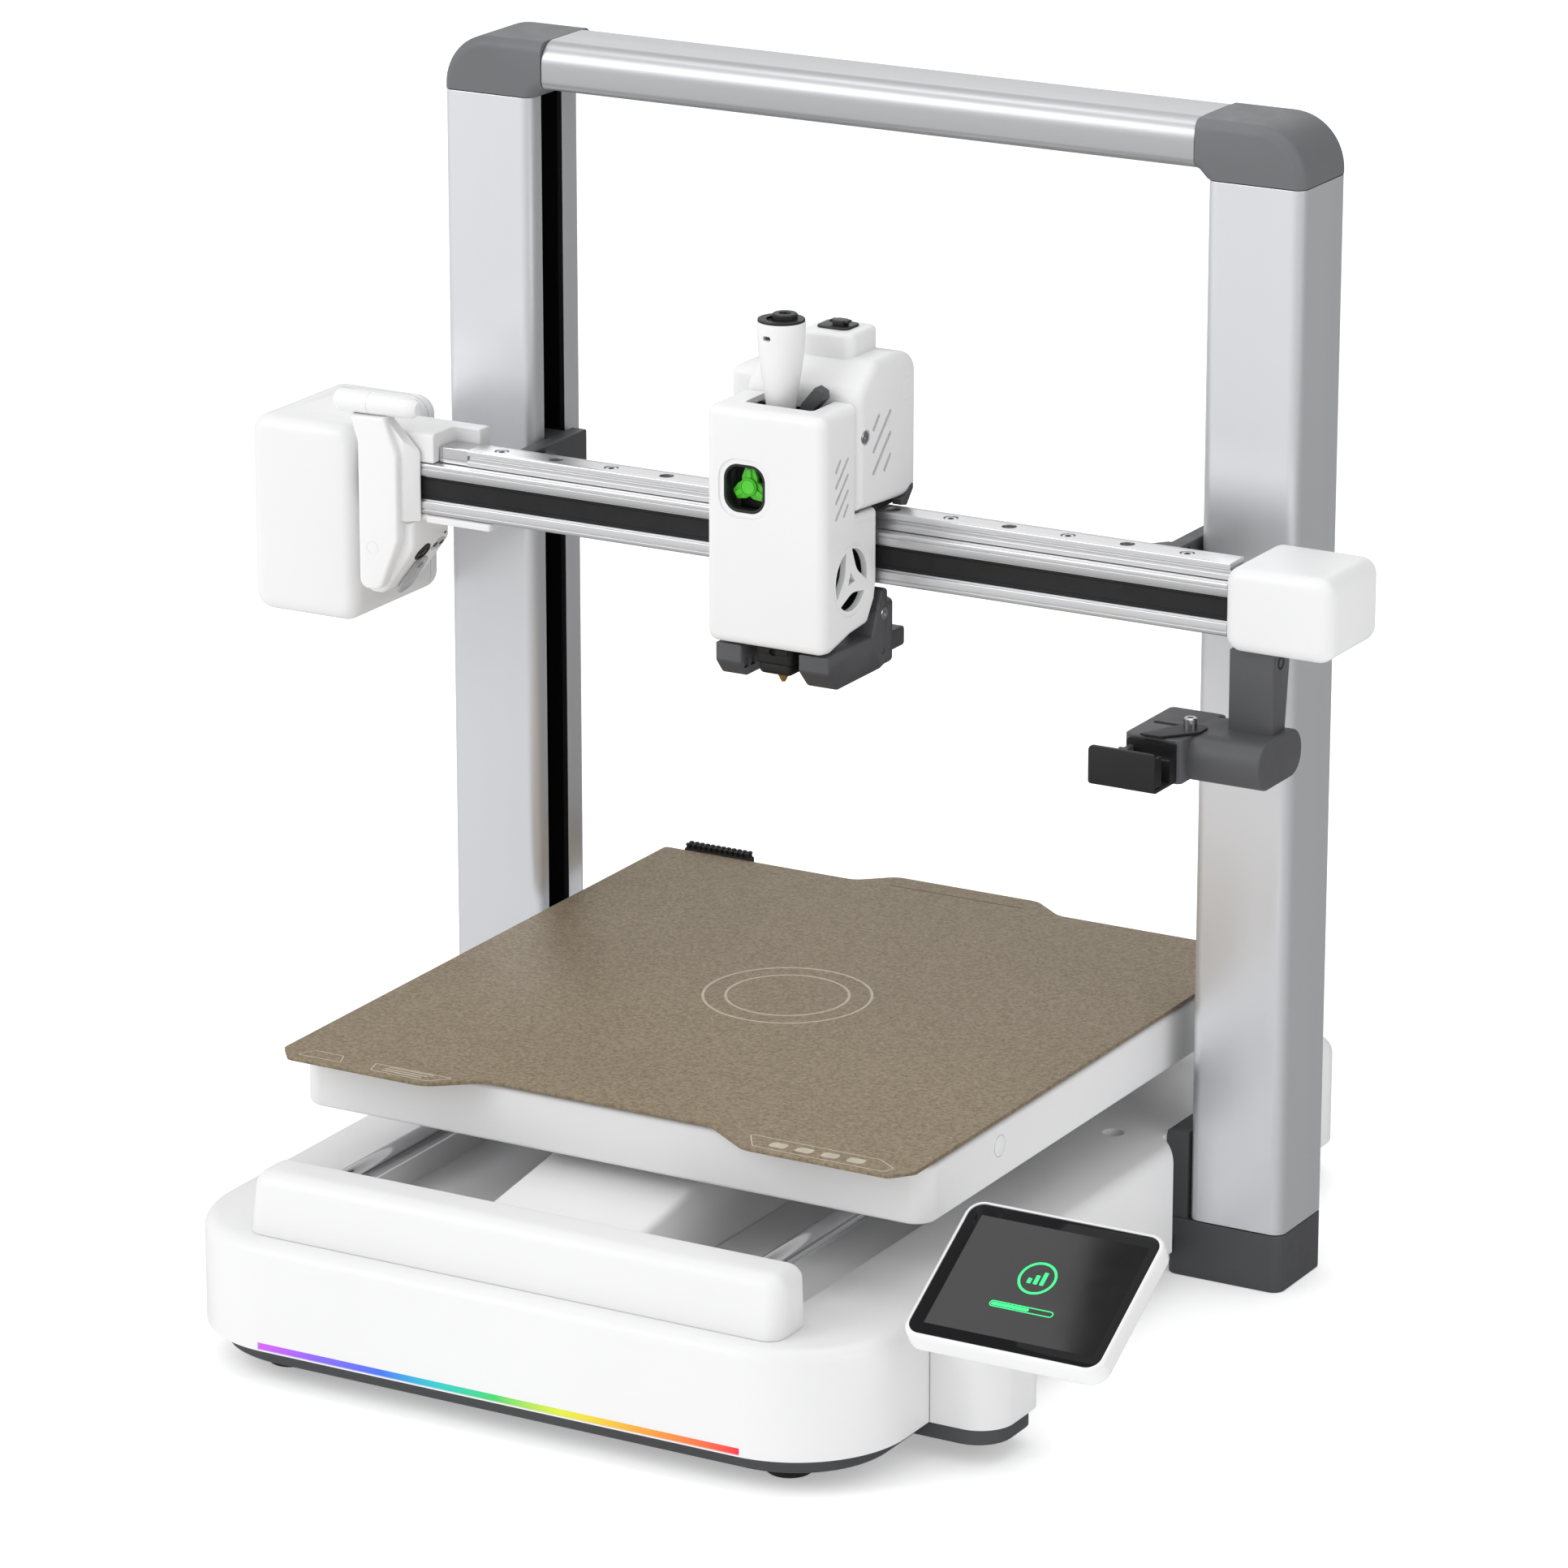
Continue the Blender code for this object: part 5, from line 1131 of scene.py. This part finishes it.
def fan_openings(x1):
    """The grille's openings: three lenses round a small triangle, between curved spokes."""
    outlines = []
    for k in range(3):
        middle = math.radians(38 + 120 * k)
        arc = [(12.2, math.radians(50 * step / 6)) for step in range(-6, 7)]
        outline = arc + [(8.4, 0.66), (6.2, 0.36), (5.5, 0.0), (6.2, -0.36), (8.4, -0.66)]
        outlines.append([(r, middle + swing) for r, swing in outline])
    outlines.append([(3.1, math.radians(98 + 120 * k)) for k in range(3)])
    return gather([prism([(FAN[0] + r * math.cos(turn), FAN[1] + r * math.sin(turn))
                          for r, turn in outline], "x", x1 - 6.0, x1 + 5.0)
                   for outline in outlines])


def build_rear_shell():
    head = Box("head_rear_shell")
    x1 = head.x1
    split = -75.7
    side = [(split, 316.5, 0.8), (-29.5, 313.5, 3.0), (-29.5, 370.0, 9.0), (-46.0, 373.0, 8.0),
            (-62.0, 373.0, 6.0), (-74.0, 363.0, 7.0), (split, 358.0)]
    shell = prism(side, "x", -8.0, x1, bevel=4.0, steps=10, segments=8)
    carve(shell, prism([(-90.0, 300.0), (-32.0, 300.0), (-32.0, 365.0), (-70.0, 365.0),
                        (-72.5, 355.0), (-90.0, 355.0)], "x", -5.5, x1 - 2.5))
    fuse(shell, box((-20.0, -66.0, 350.0), (-6.0, -40.0, 365.0), bevel=4.0, radius=4.0, axis="x"),
         box((9.0, -63.0, 366.0), (32.0, -41.0, head.z1), bevel=2.0, radius=4.0, steps=10))
    vents = [((-64.8, 346.1), (-59.6, 351.9)), ((-64.8, 337.5), (-50.5, 351.8)),
             ((-64.8, 328.9), (-50.5, 343.2)), ((-56.3, 328.3), (-50.5, 334.6))]
    carve(shell, leaning_slots(x1, vents, 1.8))
    carve(shell, row(6, (6.0, 0, 0), (2.0, -31.0, 322.0), (5.0, -28.0, 350.0), radius=1.4, axis="y"))
    carve(shell, cylinder((-70.4, 345.0), 3.1, x1 - 1.0, x1 + 2.0, "x", 40))
    attach(box((x1 - 3.6, -66.0, 327.0), (x1 - 2.8, -49.5, 353.0)), "back_vent_backing",
           "head_rear_shell", DARK)
    finish_piece(shell, "head_back", "head_rear_shell", WHITE, soften=0.35)
    attach(cap_screw(-70.4, 345.0, x1 - 1.0, 2.5, "x", 0.9), "head_back_screw", "head_rear_shell",
           SCREW_STEEL)
    mark = band(rectangle(-40.5, 352.5, -34.0, 362.0, 1.5), 0.35, x1 - 0.04, 0.09, "x")
    attach(mark, "head_back_mark", "head_rear_shell", WHITE_GLOSS)
    plug = box((13.0, -58.0, head.z1 - 0.5), (27.0, -46.0, head.z1 + 0.9), bevel=0.5, radius=3.0)
    attach(plug, "cable_socket", "head_rear_shell", BLACK)
    tab = fuse(box((19.0, -55.5, head.z1), (24.0, -50.0, head.z1 + 3.0), bevel=0.5, radius=1.0),
               box((17.6, -54.5, head.z1 + 1.8), (25.4, -51.0, head.z1 + 3.0), bevel=0.4))
    attach(tab, "cable_socket_tab", "head_rear_shell", BLACK)
    clip = prism([(-43.0, 312.0, 0.4), (-38.5, 311.0, 0.6), (-33.5, 316.5, 0.6),
                  (-33.5, 319.0, 0.4), (-36.0, 318.0, 0.4), (-39.5, 314.6, 0.4), (-43.0, 314.4)],
                 "x", 39.0, 42.9, steps=4)
    attach(clip, "head_clip", "head_rear_shell", DARK, soften=0.2)


def build_head():
    build_front_shell()
    build_rear_shell()
    x, y = 13.2, -84.0
    funnel = turned([(5.0, 350.0), (5.3, 353.0), (6.5, 362.0), (8.0, 372.0), (8.8, 378.0),
                     (9.05, 382.0), (9.3, 385.0), (9.3, 389.6), (9.0, 390.2), (7.6, 390.2),
                     (7.6, 384.0), (3.0, 376.0), (2.0, 352.0)], (x, y), steps=64)
    carve(funnel, box((x - 3.0, y - 12.0, 383.8), (x + 0.4, y - 6.0, 385.6), radius=0.7, axis="y"))
    finish_piece(funnel, "funnel_body", "filament_funnel", WHITE, soften=0.25)
    attach(band(circle(x, y, 9.1, 64), 3.4, 389.9, 1.1), "funnel_ring", "filament_funnel", BLACK,
           soften=0.25)
    collet = turned([(4.9, 386.0), (4.9, 392.6), (4.5, 393.0), (2.4, 393.0), (2.1, 392.4),
                     (2.1, 386.0)], (x + 1.0, y + 1.0), steps=48)
    attach(collet, "funnel_collet", "filament_funnel", BLACK)

    chassis = Box("x_carriage")
    top = Box("x_guide_rail").z1
    body = box((-4.0, -56.5, top + 0.5), (38.0, -38.5, 323.0), bevel=0.5)
    fuse(body, box((-4.0, -59.2, 286.0), (38.0, -57.9, 323.0)),
         box((-4.0, -60.0, 316.0), (38.0, -55.0, 323.0)),
         box((0.0, -92.0, 304.5), (32.0, -59.0, 312.9)),
         box((0.0, -92.0, 311.0), (34.0, -77.0, 345.0)),
         box((2.0, -70.0, 320.0), (36.0, -36.0, chassis.z1)))
    finish_piece(body, "head_chassis", "x_carriage", BLACK, soften=0.2)

    hot = Box("hot_end")
    block = box((9.0, -97.0, hot.z0), (25.0, -81.0, 268.0), bevel=1.2, radius=2.0)
    fuse(block, box((10.5, -97.6, 262.0), (23.5, -80.4, 268.0), bevel=0.6),
         box((9.6, -96.4, 253.6), (24.4, -81.6, 259.0), bevel=2.2, radius=2.5, segments=6),
         cylinder(NOZZLE, 2.5, 266.0, 276.0), cylinder(NOZZLE, 8.0, 275.0, 299.6))
    fins = [band(circle(*NOZZLE, 8.0, 48), 2.2, 277.0 + 3.0 * k, 1.5, spare=1.0)
            for k in range(7)]
    carve(block, gather(fins))
    carve(block, cylinder((17.0, 263.0), 1.5, -99.0, -96.0, "y", 32),
          turned([(3.3, 251.0), (3.3, 254.6), (2.9, 255.0)], NOZZLE, steps=48))
    finish_piece(block, "heater_sock", "hot_end", RUBBER, soften=0.3)
    nozzle = Box("nozzle")
    tip = turned([(0.35, nozzle.z0), (0.75, nozzle.z0 + 0.05), (2.3, nozzle.z0 + 3.0),
                  (3.2, nozzle.z0 + 4.0), (3.6, nozzle.z0 + 4.3), (3.6, 258.4)],
                 (nozzle.cx, nozzle.cy), steps=6 * 8)
    flats = prism(circle(nozzle.cx, nozzle.cy, 4.0, 6), "z", nozzle.z0 + 4.6, 257.9, bevel=0.2)
    finish_piece(fuse(tip, flats), "nozzle_tip", "nozzle", BRASS, soften=0.0)

    duct = prism([(-99.0, 257.5, 2.5), (-92.0, 250.0, 4.0), (-58.0, 250.0, 3.0), (-52.0, 251.5, 2.0),
                  (-52.0, 281.0, 2.0), (-56.0, 282.0, 2.0), (-59.0, 276.0, 2.0),
                  (-64.0, 264.4), (-99.0, 264.4)], "x", 29.0, 42.3, bevel=1.0, steps=8)
    swell = prism([(29.0, -60.0, 1.0), (42.2, -60.0, 1.0), (42.2, -43.5, 6.5), (29.0, -43.5, 3.0)],
                  "z", 250.6, 275.5, bevel=1.6, steps=12, segments=6)
    fuse(duct, swell, box((31.0, -46.0, 254.2), (41.0, -36.0, 262.0), bevel=0.8, radius=1.5,
                          axis="x"),
         box((-7.5, -78.0, 254.0), (31.0, -66.0, 264.4)),
         prism([(-99.0, 257.0, 2.0), (-94.0, 251.0, 2.0), (-66.0, 251.0), (-66.0, 264.4),
                (-99.0, 264.4)], "x", -7.5, 4.0, bevel=1.0))
    outlets = [row(4, (0, 5.0, 0), (3.0, -96.5, 254.5), (6.0, -93.0, 258.5), radius=0.6, axis="x"),
               row(4, (0, 5.0, 0), (27.0, -92.0, 253.0), (30.2, -88.5, 257.5), radius=0.6, axis="x")]
    carve(duct, gather(outlets), box((42.0, -57.0, 255.6), (43.0, -54.5, 257.4)))
    finish_piece(duct, "cooling_duct", "fan_duct", DARK, soften=0.35)
    attach(cap_screw(-55.4, 271.6, 42.3, 2.5, "x", 0.5), "duct_screw", "fan_duct", SCREW_STEEL)

    build_part_fan()
    build_spinner()
    lever = prism([(21.0, 350.0, 0.6), (26.0, 350.0, 0.6), (26.0, 355.5, 2.0), (31.2, 361.0, 0.8),
                   (30.8, 364.0, 0.6), (27.4, 365.6, 0.6), (21.0, 358.0, 2.0)], "y", -83.5, -78.0,
                  bevel=0.5)
    finish_piece(lever, "release_tab", "release_lever", DARK, soften=0.25)


def build_part_fan():
    hub = turned([(3.2, 33.2), (4.1, 33.8), (4.1, 37.6), (3.4, 38.4), (1.0, 38.6)],
                 FAN, "x", 40)
    blades = []
    for k in range(7):
        turn = 2 * math.pi * k / 7
        blade = [(3.6, -1.0), (7.0, 0.6), (11.2, 3.2), (11.5, 4.0), (7.0, 1.6), (3.6, -0.2)]
        points = [(FAN[0] + a * math.cos(turn) - b * math.sin(turn),
                   FAN[1] + a * math.sin(turn) + b * math.cos(turn)) for a, b in blade]
        blades.append(prism(points, "x", 33.6, 37.9))
    finish_piece(fuse(hub, *blades), "fan_rotor", "part_fan", BLACK, soften=0.15)


def build_spinner():
    """Three-lobed green wheel: a hub ring and ribbed lobes."""
    wheel = Box("filament_spinner")
    x, z = 7.5, 327.6
    front = wheel.y0 + 0.2
    disc = turned([(3.6, front + 4.2), (3.6, front + 0.3), (3.3, front), (0.05, front)], (x, z),
                  "y", 48)
    for k in range(3):
        turn = math.radians(90 + 120 * k)
        for lobe, level in (([(0.0, -3.3), (3.8, -3.4, 1.5), (7.4, -1.9, 1.0), (7.4, 1.9, 1.0),
                              (3.8, 3.4, 1.5), (0.0, 3.3)], front + 1.4),
                            ([(0.0, -1.0), (7.0, -1.0, 0.4), (7.0, 1.0, 0.4), (0.0, 1.0)],
                             front + 0.7)):
            points = [(x + a * math.cos(turn) - b * math.sin(turn),
                       z + a * math.sin(turn) + b * math.cos(turn), *r) for a, b, *r in lobe]
            fuse(disc, prism(points, "y", level, front + 3.6, bevel=0.25, steps=6, segments=2))
    carve(disc, band(circle(x, z, 3.1, 48), 0.4, front - 0.5, 0.9, "y"))
    finish_piece(disc, "spinner_wheel", "filament_spinner", GREEN, soften=0.12)


# Stage ----------------------------------------------------------------------------------------
def build_stage():
    bm = bmesh.new()
    bmesh.ops.create_grid(bm, x_segments=1, y_segments=1, size=30.0)
    mesh = bpy.data.meshes.new("floor")
    bm.to_mesh(mesh)
    bm.free()
    floor = bpy.data.objects.new("floor", mesh)
    bpy.context.collection.objects.link(floor)
    material = bpy.data.materials.new("pale_floor")
    material.use_nodes = True
    shader = material.node_tree.nodes["Principled BSDF"]
    shader.inputs["Base Color"].default_value = (0.93, 0.93, 0.93, 1.0)
    shader.inputs["Roughness"].default_value = 0.9
    shader.inputs["Specular IOR Level"].default_value = 0.1
    shader.inputs["Emission Color"].default_value = (1.0, 1.0, 1.0, 1.0)
    shader.inputs["Emission Strength"].default_value = 0.35
    mesh.materials.append(material)
    floor.visible_glossy = False


def area_light(name, place, target, size, power, tone=(1.0, 1.0, 1.0)):
    data = bpy.data.lights.new(name, "AREA")
    data.shape = "RECTANGLE"
    data.size, data.size_y = size
    data.energy = power
    data.color = tone
    obj = bpy.data.objects.new(name, data)
    bpy.context.collection.objects.link(obj)
    obj.location = place
    obj.rotation_euler = (Vector(target) - Vector(place)).to_track_quat("-Z", "Y").to_euler()


def build_lights():
    """A studio that is bright from the front left and above, and darker behind on the right."""
    world = bpy.data.worlds.new("studio")
    bpy.context.scene.world = world
    world.use_nodes = True
    tree = world.node_tree
    back = tree.nodes["Background"]
    coordinates = tree.nodes.new("ShaderNodeTexCoord")
    facing = tree.nodes.new("ShaderNodeVectorMath")
    facing.operation = "DOT_PRODUCT"
    facing.inputs[1].default_value = Vector((-0.62, -0.70, 0.36)).normalized()
    tree.links.new(coordinates.outputs["Generated"], facing.inputs[0])
    level = spread(tree, facing.outputs["Value"], 0.0, 0.70, (-0.75, 0.95))
    split = tree.nodes.new("ShaderNodeSeparateXYZ")
    tree.links.new(coordinates.outputs["Generated"], split.inputs["Vector"])
    fade = spread(tree, split.outputs["Z"], 0.25, 1.0, (-0.375, -0.31))
    bright = tree.nodes.new("ShaderNodeMath")
    bright.operation = "MULTIPLY_ADD"
    bright.inputs[2].default_value = 0.19
    tree.links.new(level, bright.inputs[0])
    tree.links.new(fade, bright.inputs[1])
    tree.links.new(bright.outputs["Value"], back.inputs["Strength"])
    back.inputs["Color"].default_value = (1.0, 1.0, 1.0, 1.0)
    middle = (0.0, 0.0, 0.2)
    area_light("key", (-1.9, -2.3, 2.1), middle, (1.8, 1.8), 29.0)
    area_light("top", (0.45, 0.3, 2.4), (0.45, 0.2, 0.0), (2.2, 2.2), 18.0)
    area_light("back", (-1.0, 2.6, 1.6), (0.0, 0.0, 0.3), (2.0, 1.2), 7.0)
    area_light("right", (2.6, -0.6, 1.2), middle, (1.6, 1.6), 13.0)
    area_light("screen glint", (-1.015, -0.06, 2.4), (-1.015, -0.06, 0.0), (0.3, 0.5), 2.2)


def build_camera_view():
    data = bpy.data.cameras.new("camera")
    data.lens = 164.68
    data.sensor_width = 36.0
    data.clip_end = 100.0
    obj = bpy.data.objects.new("camera", data)
    bpy.context.collection.objects.link(obj)
    obj.location = ORIGIN + Vector((1.32105, -2.38346, 1.03530))
    pitch, yaw = math.radians(17.404), math.radians(29.608)
    obj.rotation_euler = (math.pi / 2 - pitch, 0.0, yaw)
    bpy.context.scene.camera = obj
    bpy.context.scene.view_settings.view_transform = "Standard"


build_camera_view()
build_stage()
build_lights()
build_base()
build_drive()
build_portal()
build_screen()
build_bed()
build_gantry()
build_camera()
build_wiper()
build_head()

bpy.context.view_layer.update()
